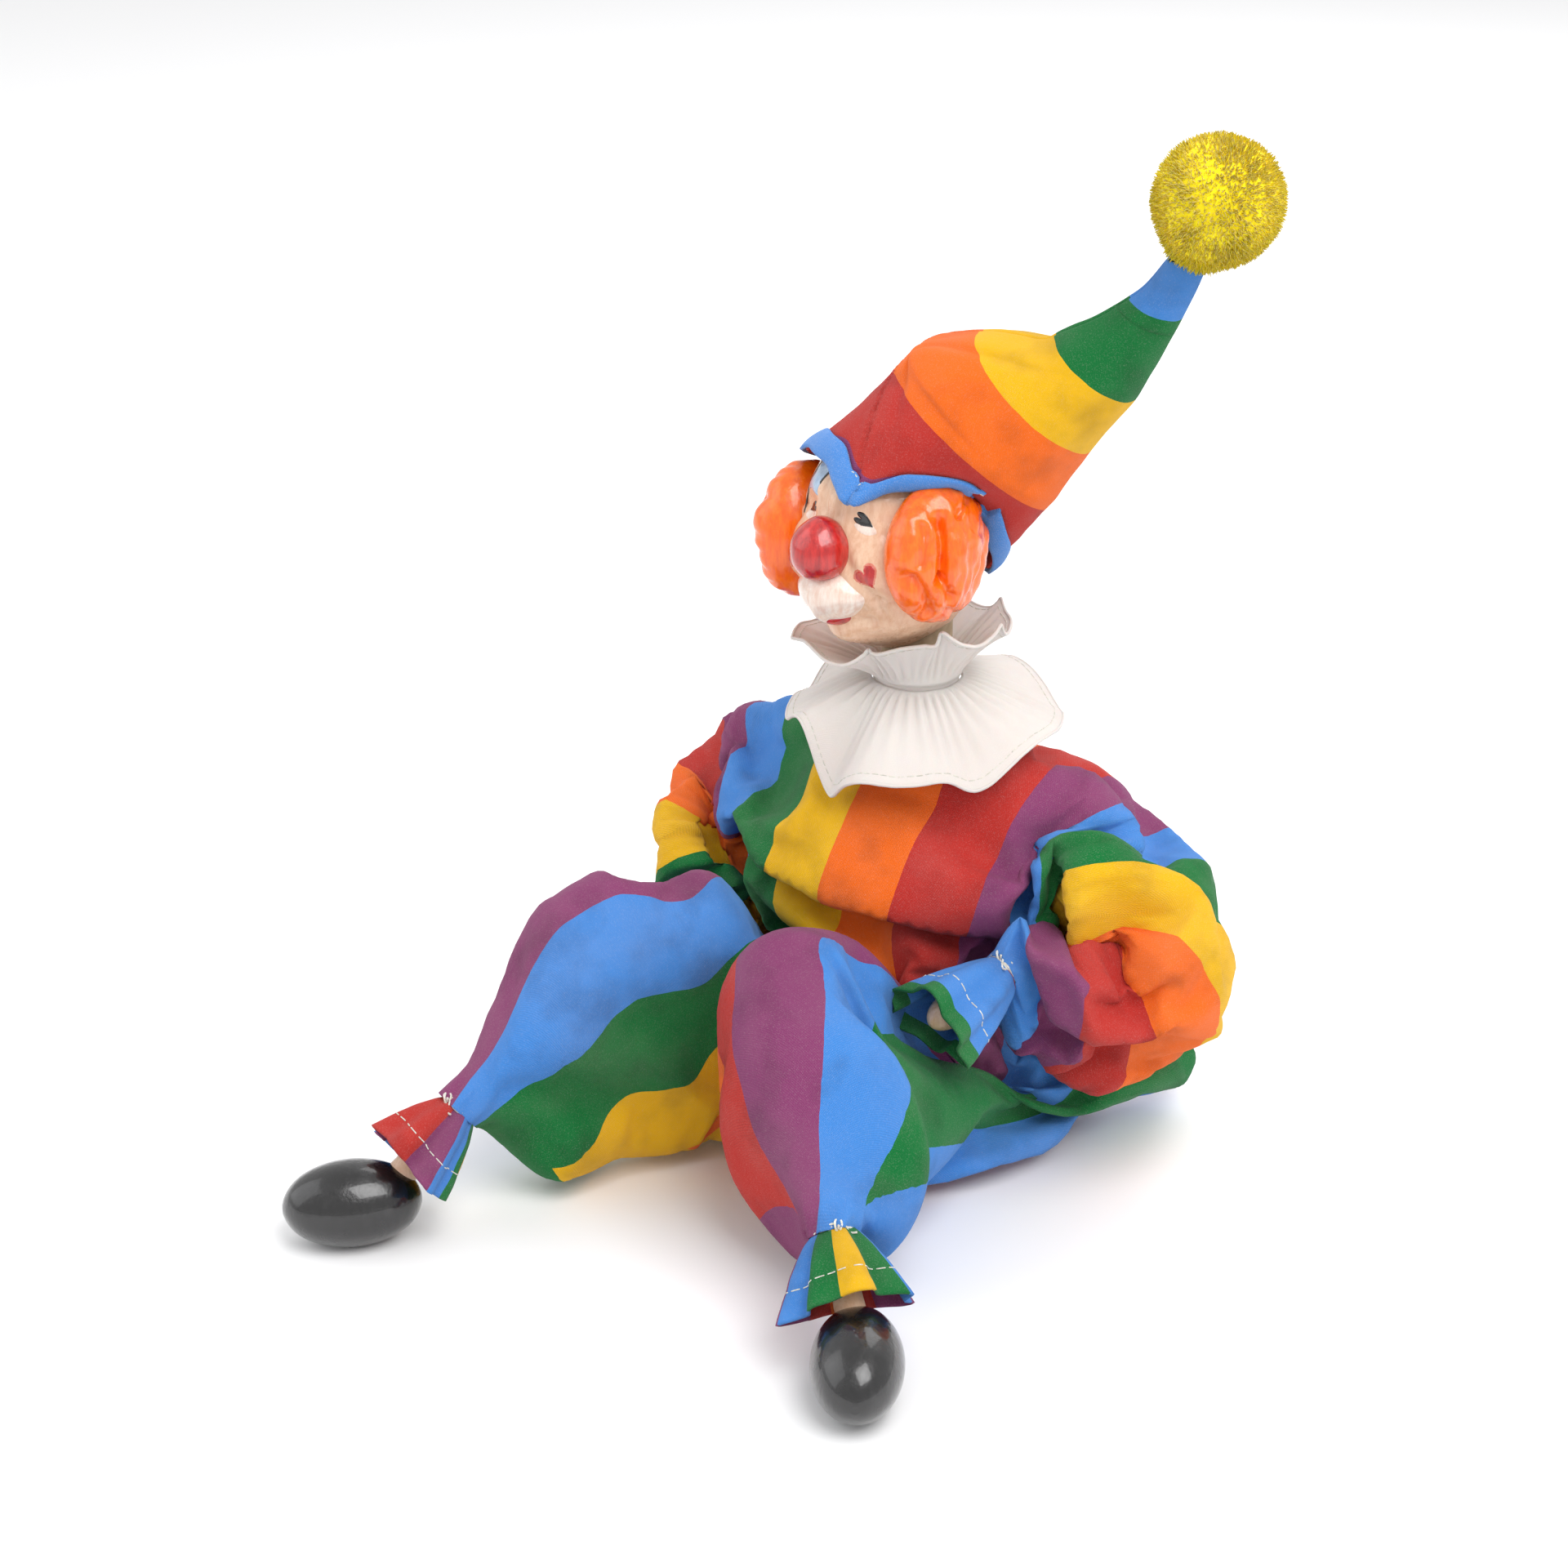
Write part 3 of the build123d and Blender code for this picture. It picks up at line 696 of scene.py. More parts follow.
def hem_point(angle):
    """The hat's mouth at an angle, in degrees: 0 on its right, 90 in front, 180 on its left, 270 behind."""
    turn = math.radians(angle)
    height = sum(np.interp((angle + shift) % 360, HEM_ANGLES, HEM_HEIGHTS) for shift in (-4, -2, 0, 2, 4)) / 5
    over_hair = 4.5 * bump_at(angle - 158, 24) + 2.5 * bump_at(angle - 22, 24)
    place = Vector((-math.cos(turn) * (31.5 + over_hair), -math.sin(turn) * (31.0 + over_hair), height))
    spread = math.sqrt(max(0.05, 1 - (place.z / 44) ** 2))
    return AT_HEAD @ Vector((place.x * spread, place.y * spread, place.z))


def station_point(index, angle):
    """A point of one hat station at an angle, as hem_point has it."""
    upper, lower, depth, _ = HAT_STATIONS[index]
    high = LEAN_ORIGIN + LEAN * upper[0] + Vector((0, 0, upper[1]))
    low = LEAN_ORIGIN + LEAN * lower[0] + Vector((0, 0, lower[1]))
    turn = math.radians(angle - STATION_TURNS[index])
    side = Vector((LEAN.y, -LEAN.x, 0)) * depth * math.sin(turn)
    near_lift = Vector((0, 0, NEAR_LIFTS[index] * max(0.0, math.sin(turn))))
    return (high + low) / 2 + (high - low) / 2 * math.cos(turn) + side + near_lift


def seam_angle(share):
    """Where the hat's front seam is, from the hem's point at 0 to the tip at 1."""
    return FRONT_SEAM - 88 * smooth(share / 0.36) ** 0.8


def hat_point(share, angle):
    """The hat's cloth at a share of its length and an angle, without its folds."""
    line = [hem_point(angle)] + [station_point(i, angle) for i in range(len(HAT_STATIONS))]
    return curve_through(line, share)


def hat_surface():
    """Points of the hat, row by row, with seam, creases and the dents that stuffing leaves."""
    rows = []
    for i in range(HAT_ROWS):
        share = i / (HAT_ROWS - 1)
        ring = [hat_point(share, 360 * j / HAT_COLUMNS) for j in range(HAT_COLUMNS)]
        middle = sum(ring, Vector()) / HAT_COLUMNS
        across = sum((place - middle).length for place in ring) / HAT_COLUMNS
        moved = []
        for j, place in enumerate(ring):
            angle = 360 * j / HAT_COLUMNS
            out = (place - middle).normalized()
            off_seam = math.radians((angle - seam_angle(share) + 180) % 360 - 180) * across
            rise = 0.9 * bump_at(abs(off_seam), 3.2) - 1.5 * bump_at(abs(off_seam), 0.75)
            rise += 0.5 * lump(place, 16, 2) + 0.22 * lump(place, 6, 4)
            crease = off_seam - 10 - 14 * share
            rise -= 1.3 * bump_at(crease, 3.0) * smooth(share * 5) * smooth((0.75 - share) * 4)
            rise -= 2.0 * bump_at(share - 0.63, 0.035) * max(0.0, math.cos(math.radians(angle)))
            rise -= 1.0 * bump_at(share - 0.24, 0.05) * bump_at(angle - 120, 30)
            moved.append(place + out * rise * min(1.0, across / 12))
        rows.append(moved)
    return rows


def cloth_place(share, angle):
    """Distance along the hat's cloth in millimetres, which its stripes follow."""
    from_seam = abs((angle - FRONT_SEAM + 180) % 360 - 180)
    places = [16 + 13 * smooth((from_seam - 25) / 60)] + [station[3] for station in HAT_STATIONS]
    at = share * (len(places) - 1)
    i = min(int(at), len(places) - 2)
    return places[i] + (places[i + 1] - places[i]) * (at - i)


def lay_pattern(piece, columns, place_of):
    """Gives a grid of closed rings its pattern coordinates, in metres, from place_of(row, column)."""
    uv = piece.data.uv_layers.new(name="pattern")
    for face in piece.data.polygons:
        places = [divmod(piece.data.loops[k].vertex_index, columns) for k in face.loop_indices]
        closing = {0, columns - 1} <= {column for _, column in places}
        for k, (row, column) in zip(face.loop_indices, places):
            uv.data[k].uv = place_of(row, columns if closing and column == 0 else column)


def stitch_line(points, columns, row, beyond_row):
    """The places along one row of a closed grid, back to the first, and the way out of the cloth at each."""
    line = []
    for j in list(range(columns)) + [0]:
        place = points[row * columns + j]
        beyond = points[beyond_row * columns + j] - place
        aside = points[row * columns + (j + 1) % columns] - place
        line.append((place, aside.cross(beyond).normalized()))
    return line


def declare_frill(points, columns):
    """Works out the length of a frill's rim, in metres, and keeps nothing of it."""
    rim = points[-columns:]
    width = sum((a - b).length for a, b in zip(rim, rim[1:] + rim[:1])) * MM


def make_hat(cotton, blue, thread):
    """The hat in two pieces that meet at its bend, its hem band and their stitching."""
    rows = hat_surface()
    bend_row = min(range(HAT_ROWS), key=lambda i: (sum(rows[i], Vector()) / HAT_COLUMNS - HAT_BEND).length)
    bend_start, bend_end = bend_row - 14, bend_row + 14
    spans = {"hat_crown_cloth": (0, bend_end), "hat_tip_cloth": (bend_end, HAT_ROWS - 1)}
    made = {}
    for name, (first, last) in spans.items():
        points = [place for row in rows[first:last + 1] for place in row]
        piece = mesh_piece(name, points, grid_faces(last - first + 1, HAT_COLUMNS))

        def on_cloth(row, column):
            along = cloth_place((first + row) / (HAT_ROWS - 1), 360 * column / HAT_COLUMNS)
            return (68 - along) * MM, HAT_ROUND * MM * column / HAT_COLUMNS

        lay_pattern(piece, HAT_COLUMNS, on_cloth)
        made[name] = thicken(piece, HAT_CLOTH)
    crown, tip = made["hat_crown_cloth"], made["hat_tip_cloth"]
    dress(crown, None, "rainbow_cotton", cotton, "hat_crown", "hat_filling")
    start, end = (sum(rows[i], Vector()) / HAT_COLUMNS * MM for i in (bend_start, bend_end - 1))
    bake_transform(crown)
    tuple(start)
    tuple(end)
    dress(tip, "hat_end", "rainbow_cotton", cotton, "hat_tip", "hat_tip_filling")
    for piece, flat in ((crown, (0.215, 0.115)), (tip, (0.066, 0.04))):
        surface_area(piece) / 2  # half: it has two faces
    make_hem(rows, blue, thread)


def surface_area(piece):
    """Area of a piece's faces in square metres."""
    return sum(face.area for face in piece.data.polygons)


def along_hat(rows, column, distance):
    """The hat's cloth at a distance up one column from its mouth, and the way up there."""
    run = 0.0
    for low, high in zip(rows, rows[1:]):
        step = (high[column] - low[column]).length
        if run + step >= distance:
            return low[column].lerp(high[column], (distance - run) / step), (high[column] - low[column]).normalized()
        run += step
    return rows[-1][column], Vector((0, 0, 1))


def make_hem(rows, blue, thread):
    """The blue band turned up around the hat's mouth, and the white stitches along its upper edge."""
    points = []
    upper = []
    for k in range(HEM_STEPS):
        share = k / (HEM_STEPS - 1)
        puff = 0.75 + 1.0 * math.sin(math.pi * (0.10 + 0.80 * share)) ** 0.7
        for j in range(HAT_COLUMNS):
            place, way = along_hat(rows, j, HEM_BAND * share - 1.4)
            aside = rows[0][(j + 1) % HAT_COLUMNS] - rows[0][j - 1]
            out = way.cross(aside).normalized()
            out = out if out.dot(place - AT_HEAD @ Vector((0, 0, 10))) > 0 else -out
            place += out * (puff + 0.15 * lump(place, 4, 8))
            points.append(place)
            if k == HEM_STEPS - 1:
                upper.append((place - way * 0.6, out))
    band = mesh_piece("hat_hem_cloth", points, grid_faces(HEM_STEPS, HAT_COLUMNS))

    def on_cloth(row, column):
        return HAT_ROUND * MM * column / HAT_COLUMNS, row * HEM_BAND / HEM_STEPS * MM

    lay_pattern(band, HAT_COLUMNS, on_cloth)
    dress(thicken(band, 1.0), "head", "rainbow_cotton", blue, "hat_hem_band")
    line = stitches("hat_hem_stitches", upper + upper[:1], 2.4, 0.9, 0.24, 0.25)
    dress(line, "head", "thread", thread)


def make_pompom(wool):
    """A trimmed ball of wool: thousands of tapered strands on a soft core."""
    pick = random.Random(WOOL_SEED)
    core_r = POMPOM_R - 1.3
    parts = [closed_ball(60, 80, lambda out: POMPOM + out * (core_r + 0.8 * lump(out * 10, 4)))]
    to_tip = (HAT_TIP - POMPOM).normalized()
    for i in range(STRANDS):
        z = 1 - 2 * (i + 0.5) / STRANDS
        angle = i * math.pi * (3 - math.sqrt(5))
        out = Vector((math.sqrt(1 - z * z) * math.cos(angle), math.sqrt(1 - z * z) * math.sin(angle), z))
        near_tip = bump_at((out - to_tip).length, 0.42)
        reach = POMPOM_R + 0.7 * lump(out * 10, 5, 1) + pick.uniform(-0.9, 0.5) + 2.6 * near_tip
        sway = Vector((pick.uniform(-1, 1), pick.uniform(-1, 1), pick.uniform(-1, 1)))
        sway = (sway - out * sway.dot(out)) * 1.3
        start = POMPOM + out * (POMPOM_R - 4.6)
        middle = POMPOM + out * (reach - 2.2) + sway * 0.5
        end = POMPOM + out * reach + sway * 1.25
        across = out.orthogonal().normalized()
        strand = []
        for place, radius in ((start, 0.42), (middle, 0.36), (end, 0.10)):
            strand += ring(place, across, out.cross(across), radius, 3, i)
        parts.append((strand, grid_faces(3, 3) + [(8, 7, 6)]))
    ball_of_wool = mesh_piece("pompom_wool", *joined(parts))
    return dress(ball_of_wool, "hat_end", "yellow_wool", wool, "pompom", "pompom_thread")


# ---- ruff -------------------------------------------------------------------------------------------------
FRILL_ROWS, FRILL_COLUMNS = 34, 420
HEM_ROW = FRILL_ROWS - 4  # where a frill's hem is stitched
# The upper frill's reach and rise beyond the gathering band, at angles round the neck; 270 is in front.
FRILL_ANGLES = [0, 60, 130, 215, 262, 305, 345, 360]
FRILL_REACHES = [14, 16, 18, 25, 12, 9.5, 12, 14]
FRILL_RISES = [18, 16, 14, 10, 11, 19, 19.5, 18]


def frill_point(upper, share, angle):
    """A point of a frill: share 0 at the gathering band and 1 at its rim; angle in degrees, 270 in front."""
    turn = math.radians(angle)
    fold = share ** 1.3
    if upper:
        wave = math.sin(math.radians(angle * 7 + 30 * math.sin(turn * 2))) * 0.7 + 0.5 * math.sin(turn * 11 + 1)
        reach = 14.0 + np.interp(angle % 360, FRILL_ANGLES, FRILL_REACHES) * share ** 1.1
        height = 146.5 + np.interp(angle % 360, FRILL_ANGLES, FRILL_RISES) * share ** 0.75 + 2.6 * wave * fold
        sideways = 3.0 * fold * math.cos(math.radians(angle * 7))
    else:
        near_front = bump_at((angle - 262 + 180) % 360 - 180, 17)
        other_front = bump_at((angle - 238 + 180) % 360 - 180, 12)
        wave = math.sin(math.radians(angle * 5 + 40)) * 0.55 + 0.3 * math.sin(turn * 9 + 2)
        reach = 14.0 + (29.5 - 6.0 * near_front + 3.0 * math.sin(turn + 0.6)) * share
        height = 145.0 - (12.0 + 9.0 * bump_at((angle - 285 + 180) % 360 - 180, 70)) * share ** 1.25
        height += (5.0 * wave - 8.0 * near_front + 7.0 * other_front) * fold
        sideways = 3.4 * fold * math.sin(math.radians(angle * 5))
    out = Vector((math.cos(turn), math.sin(turn), 0))
    return Vector((NECK.x, 0, 0)) + out * reach + Vector((-out.y, out.x, 0)) * sideways + Vector((0, 0, height))


def make_frill(name, upper, cotton, thread, node, flat):
    """One gathered frill of the ruff with its turned hem and its stitching."""
    last = FRILL_ROWS - 1
    pleats = []
    for i in range(FRILL_ROWS):
        share = i / last
        for j in range(FRILL_COLUMNS):
            place = frill_point(upper, share, 360 * j / FRILL_COLUMNS)
            gather = 0.9 * (1 - share) * math.sin(math.radians(360 * j / FRILL_COLUMNS * 40)) * smooth(share * 6)
            pleats.append(place + Vector((0, 0, gather + 0.25 * lump(place, 7, 3) + 0.1 * lump(place, 2.2, 6))))
    frill = mesh_piece(name, pleats, grid_faces(FRILL_ROWS, FRILL_COLUMNS))
    width, length = flat
    lay_pattern(frill, FRILL_COLUMNS, lambda row, column: (width * column / FRILL_COLUMNS, length * row / last))
    rim = stitch_line(pleats, FRILL_COLUMNS, HEM_ROW, last)
    thicken(frill, 0.55)
    dress(frill, "neck", "white_cotton", cotton, node)
    declare_frill(pleats, FRILL_COLUMNS)
    for face, sign in (("upper", 1), ("lower", -1)):
        line = [(place, out * sign) for place, out in rim]
        seam = stitches(f"{name}_{face}_stitches", line, 1.9, 0.9, 0.17, 0.30)
        dress(seam, "neck", "thread", thread)
    fold_points = []
    for k in range(6):
        turn = 2 * math.pi * k / 6
        for j in range(FRILL_COLUMNS):
            edge = pleats[last * FRILL_COLUMNS + j]
            back = (pleats[(last - 2) * FRILL_COLUMNS + j] - edge).normalized()
            out = rim[j][1]
            fold_points.append(edge + back * (0.55 * math.cos(turn) + 0.3) + out * 0.62 * math.sin(turn))
    faces = grid_faces(6, FRILL_COLUMNS) + [
        (5 * FRILL_COLUMNS + j, 5 * FRILL_COLUMNS + (j + 1) % FRILL_COLUMNS, (j + 1) % FRILL_COLUMNS, j)
        for j in range(FRILL_COLUMNS)]
    hem = mesh_piece(f"{name}_rolled_edge", fold_points, faces)
    lay_pattern(hem, FRILL_COLUMNS, lambda row, column: (width * column / FRILL_COLUMNS, 0.0006 * row))
    dress(hem, "neck", "white_cotton", cotton)


# ---- cuffs and ties ---------------------------------------------------------------------------------------
CUFF_ROWS, CUFF_COLUMNS = 26, 160
# What differs between sleeve and leg: body and CAD nodes at the end; the cuff's half width, half height,
# length and number of folds.
LIMB_ENDS = {"sleeve": ("hand", "sleeve_cuff", "wrist_tie"), "leg": ("foot", "trouser_cuff", "ankle_tie")}
CUFF_SIZES = {"sleeve": (16.5, 11.0, 31.0, 6), "leg": (17.0, 13.0, 22.0, 7)}


def end_frame(side, limb):
    """A limb's end: its tie's place, the way out along it, and two directions across it."""
    start, end = (WRISTS, FINGERTIPS) if limb == "sleeve" else (ANKLES, HEELS)
    way = (end[side] - start[side]).normalized()
    up = (Vector((0, 0, 1)) - way * way.z).normalized()
    return start[side], way, up, up.cross(way)


def cuff_point(side, limb, share, angle):
    """A point of a cuff, from its tie at share 0 to its stitched rim at 1; angle from the top, in radians."""
    place, way, up, across = end_frame(side, limb)
    grow = share ** 0.7
    wide, tall, long, folds = CUFF_SIZES[limb]
    ripple = math.sin(angle * folds + SIDES[side]) * 0.6 + 0.4 * math.sin(angle * (folds - 3) + 2)
    radius_up = 5.0 + (tall - 5.0) * grow * (1 + 0.42 * ripple)
    radius_across = 5.0 + (wide - 5.0) * grow * (1 + 0.36 * ripple)
    out = up * math.cos(angle) * radius_up + across * math.sin(angle) * radius_across
    forward = 2.5 + long * share * (1 - 0.06 * math.cos(angle * 2))
    spot = place + way * forward + out
    return Vector((spot.x, spot.y, max(spot.z, 1.2 + 0.4 * share)))


def make_cuff(side, limb, cotton, thread):
    """The frill beyond a tie: gathered at the thread, hem turned in and top-stitched."""
    last = CUFF_ROWS - 1
    sign = SIDES[side]
    points = []
    for i in range(CUFF_ROWS):
        for j in range(CUFF_COLUMNS):
            place = cuff_point(side, limb, i / last, 2 * math.pi * j / CUFF_COLUMNS)
            points.append(place + Vector((0.3 * lump(place, 5, 1), 0.3 * lump(place, 5, 2), 0.2 * lump(place, 5, 3))))
    cloth = mesh_piece(f"{side}_{limb}_frill_cloth", points, grid_faces(CUFF_ROWS, CUFF_COLUMNS))

    def on_cloth(row, column):
        if limb == "sleeve":
            return sign * (217 + 32 * row / last) * MM, 0.1 * column / CUFF_COLUMNS
        return sign * (12 + 118 * abs(2 * column / CUFF_COLUMNS - 1)) * MM, -0.418 - 0.028 * row / last

    lay_pattern(cloth, CUFF_COLUMNS, on_cloth)
    hem_row = int(CUFF_ROWS * 0.62)
    line = stitch_line(points, CUFF_COLUMNS, hem_row, hem_row + 1)
    middle = sum((spot for spot, _ in line), Vector()) / len(line)
    facing = 1 if (line[0][0] - middle).dot(line[0][1]) > 0 else -1
    body, node, _ = (f"{side}_{end}" for end in LIMB_ENDS[limb])
    thicken(cloth, 0.9)
    dress(cloth, body, "rainbow_cotton", cotton, node)
    declare_frill(points, CUFF_COLUMNS)
    seam = stitches(f"{side}_{limb}_frill_stitches", [(spot, out * facing) for spot, out in line], 2.4, 1.2, 0.2, 0.5)
    dress(seam, body, "thread", thread)


def make_tie(side, limb, thread):
    """Thread wound round the gathered end of a limb, with a knot and two cut ends."""
    place, way, up, across = end_frame(side, limb)
    pick = random.Random(side + limb)
    path = []
    turns, steps = 5, 28
    for i in range(turns * steps + 1):
        angle = 2 * math.pi * i / steps
        radius = 5.9 + 0.25 * math.sin(angle * 3.3)
        along = 1.0 + 0.62 * i / steps + 0.12 * math.sin(angle * 1.7)
        path.append(place + way * along + up * math.cos(angle) * radius + across * math.sin(angle) * radius)
    winding = wound_thread(f"{side}_{limb}_tie_thread", path, 0.36)
    body, _, node = (f"{side}_{end}" for end in LIMB_ENDS[limb])
    dress(winding, body, "thread", thread, node)
    knot_at = place + way * 2.4 + up * 6.4
    loops = []
    for i in range(60):
        t = i / 59
        swirl = Vector((math.sin(t * 19), math.cos(t * 23), math.sin(t * 31 + 1))) * (1.3 if i < 44 else 0.5)
        tail = (across * 5.5 + way * 2.5 - up * 1.0) * max(0.0, t - 0.74) / 0.26
        loops.append(knot_at + swirl + tail + Vector((pick.uniform(-0.1, 0.1), 0, 0)))
    knot = wound_thread(f"{side}_{limb}_tie_knot", loops, 0.32)
    dress(knot, body, "thread", thread)


# ---- romper: one double panel, sewn flat and then put on the figure ---------------------------------------
# The panel's right half, in millimetres across and up from the collar; the left half mirrors it.
COLLAR_HALF = 26.0
SLEEVE_END, LEG_END = 232.0, -380.0
TOP_EDGE = [(COLLAR_HALF, 0), (110, -18), (SLEEVE_END, -42)]
LEG_IN, LEG_OUT = 46.0, 92.0  # the legs' ends, which are narrower than their knees
INNER_EDGE = [(LEG_IN, LEG_END), (18, -310), (7, -262), (0, -240)]
OUTER_EDGE = [(LEG_OUT, LEG_END), (108, -300), (116, -215)]
UNDER_EDGE = [(SLEEVE_END, -88), (165, -122), (112, -136)] + OUTER_EDGE[::-1]
MESH_STEP = 6.3
HIP_LINE = -165.0  # below it the cloth starts folded forward along the legs
LIFTED = 75.0  # how far above its seat the figure starts, before it settles into the cloth
MOVE_FRAMES, SETTLE_FRAMES = 30, 66
SETTLE_GRAVITY = -5  # weaker than real, because each point of this coarse cloth weighs too much
LEG_ROLL = {"left": 15, "right": 65}
LEG_FULL = {"left": (34, 43), "right": (28, 48)}
TORSO_RINGS = [(-6, 38, 32, 0, 4), (0.8, 41, 34, 0, 4), (22, 46, 35, 0, 4), (48, 38, 34, 0, 4),
               (78, 31, 32, -2, 4), (104, 26, 27, -4, 3), (122, 18, 19, -5.5, 1.5), (133, 9, 9, -6, 0),
               (165, 9, 9, -6, 0)]  # the stuffed trunk: height, half width, half depth, middle


def edge_points(corners, step):
    """Points along a line of corners, the first corner and every step of about one length."""
    places = [corners[0]]
    for a, b in zip(corners, corners[1:]):
        count = max(1, round(math.dist(a, b) / step))
        places += [(a[0] + (b[0] - a[0]) * i / count, a[1] + (b[1] - a[1]) * i / count) for i in range(1, count + 1)]
    return places


def romper_outline():
    """The panel's outline and which of its points are sewn to the other panel."""
    top = edge_points(TOP_EDGE, MESH_STEP)
    cuff = edge_points([TOP_EDGE[-1], UNDER_EDGE[0]], 4.5)[1:-1]
    under = edge_points(UNDER_EDGE, MESH_STEP)
    ankle = edge_points([UNDER_EDGE[-1], INNER_EDGE[0]], MESH_STEP)[1:-1]
    inner = edge_points(INNER_EDGE, MESH_STEP)
    half = top + cuff + under + ankle + inner
    sewn = [True] * len(top) + [False] * len(cuff) + [True] * len(under) + [False] * len(ankle) + [True] * len(inner)
    collar = edge_points([(-COLLAR_HALF, 0), (0, -7), (COLLAR_HALF, 0)], 4.5)[1:-1]
    outline = half + [(-x, y) for x, y in half[:-1]][::-1] + collar
    return np.array(outline), sewn + sewn[:-1][::-1] + [False] * len(collar)


def inside_outline(points, outline):
    """Which points lie inside a closed outline."""
    inside = np.zeros(len(points), bool)
    px, py = points[:, 0], points[:, 1]
    for (xi, yi), (xj, yj) in zip(outline, np.roll(outline, 1, axis=0)):
        inside ^= ((yi > py) != (yj > py)) & (px < (xj - xi) * (py - yi) / (yj - yi + 1e-12) + xi)
    return inside


def romper_pattern():
    """Flat places, panel of each (0 sewn, 1 front, -1 back), and the faces of both panels."""
    outline, sewn = romper_outline()
    rows = []
    across = np.arange(-255, 256, MESH_STEP)
    for k in range(int(-LEG_END / (MESH_STEP * math.sqrt(3) / 2)) + 1):
        y = -k * MESH_STEP * math.sqrt(3) / 2
        rows += [(x + (MESH_STEP / 2 if k % 2 else 0), y) for x in across]
    lattice = np.array(rows)
    lattice = lattice[inside_outline(lattice, outline)]
    away = np.sqrt(((lattice[:, None, :] - outline[None, :, :]) ** 2).sum(-1)).min(1)
    places = np.vstack([outline, lattice[away > 0.62 * MESH_STEP]])
    edges = [(i, (i + 1) % len(outline)) for i in range(len(outline))]
    _, _, faces, _, _, _ = geometry.delaunay_2d_cdt([Vector(p) for p in places], edges, [], 1, 1e-5)
    count = len(places)
    sewn = np.array(sewn + [False] * (count - len(sewn)))
    twin = np.where(sewn, np.arange(count), count + np.cumsum(~sewn) - 1)
    flat = np.vstack([places, places[~sewn]])
    panel = np.concatenate([np.where(sewn, 0, 1), np.full((~sewn).sum(), -1)])
    front = []
    for face in faces:
        a, b, c = (places[i] for i in face)
        turned = (b[0] - a[0]) * (c[1] - a[1]) - (c[0] - a[0]) * (b[1] - a[1])
        front.append(tuple(face) if turned > 0 else tuple(face[::-1]))
    return flat, panel, front + [tuple(int(twin[i]) for i in face[::-1]) for face in front]


def turned(a, b, share):
    """The direction a share of the way from a to b."""
    turn = a.normalized().rotation_difference(b.normalized())
    return Quaternion().slerp(turn, share) @ a.normalized()


def arm_at(side, share):
    """Shoulder, elbow, wrist and fingertip at a share of the move from arms held out to their seats."""
    shoulder, elbow, wrist, tip = (places[side] for places in (SHOULDERS, ELBOWS, WRISTS, FINGERTIPS))
    out = Vector((SIDES[side] * 0.978, 0, -0.208))
    line = [shoulder + Vector((0, 0, LIFTED * (1 - share)))]
    for a, b in ((shoulder, elbow), (elbow, wrist), (wrist, tip)):
        line.append(line[-1] + turned(out, b - a, share) * (b - a).length)
    return line


def wrist_ring(side, share):
    """The tied end of a sleeve: its middle, two directions across it, the second towards the front panel."""
    shoulder, elbow, wrist, tip = arm_at(side, share)
    spare = SLEEVE_END - abs(SHOULDERS[side].x) - (elbow - shoulder).length - (wrist - elbow).length
    way = (tip - wrist).normalized()
    middle = wrist + (wrist - elbow).normalized() * spare * (1 - share) + way * 3
    up = (Vector((0, 0, 1)) - way * way.z).normalized()
    return middle, up, way.cross(up) * SIDES[side]


def leg_across(side, along, roll):
    """Directions across a leg: towards its inner seam and its front panel."""
    inner = Vector((-SIDES[side], 0, 0))
    inner = (inner - along * inner.dot(along)).normalized()
    front = inner.cross(along)
    front = front if front.z > 0 else -front
    c, s = math.cos(roll), math.sin(roll)
    return inner * c - front * s, front * c + inner * s


def start_place(x, y, panel):
    """Where a point of the pattern starts: trunk and sleeves hang upright, legs run forward over the floor."""
    half_depth = 38 * math.sqrt(1 - min(1.0, abs(x) / 128) ** 2)
    if y > HIP_LINE:
        depth = half_depth * (0.35 + 0.65 * smooth(-y / 60))
        if abs(x) > 110:
            depth = max(depth, 12 * smooth((SLEEVE_END - abs(x)) / 40) + 5)
        return Vector((x, 2 - panel * depth, NECK.z + LIFTED + y))
    side = "left" if x >= 0 else "right"
    hip, knee, ankle = HIPS[side], KNEES[side], ANKLES[side]
    below = HIP_LINE - y
    share = below / (HIP_LINE - LEG_END)
    along = share * ((knee - hip).length + (ankle - knee).length)
    thigh = (knee - hip).length
    if along < thigh:
        middle = hip.lerp(knee, along / thigh)
    else:
        middle = knee.lerp(ankle, (along - thigh) / (ankle - knee).length)
    inner_edge, outer_edge = (np.interp(y, [height for _, height in edge], [across for across, _ in edge])
                              for edge in (INNER_EDGE, OUTER_EDGE))
    turn = math.pi * max(0.0, min(1.0, (abs(x) - inner_edge) / (outer_edge - inner_edge)))
    narrow = smooth((share - 0.75) / 0.25)
    wide, tall = (full + (9 - full) * narrow for full in LEG_FULL[side])
    middle.z = max(middle.z, tall * 0.9 + 2)
    inner, front = leg_across(side, (ankle - hip).normalized(), 0)
    around = (turn if panel >= 0 else -turn) - math.radians(LEG_ROLL[side]) * smooth(below / 90)
    on_leg = middle + inner * (wide * math.cos(around)) + front * (tall * math.sin(around))
    hanging = Vector((x, -panel * half_depth, NECK.z + LIFTED + HIP_LINE - below))
    place = hanging.lerp(on_leg, smooth(below / 70))
    place.z = max(place.z, 2.0)
    return place


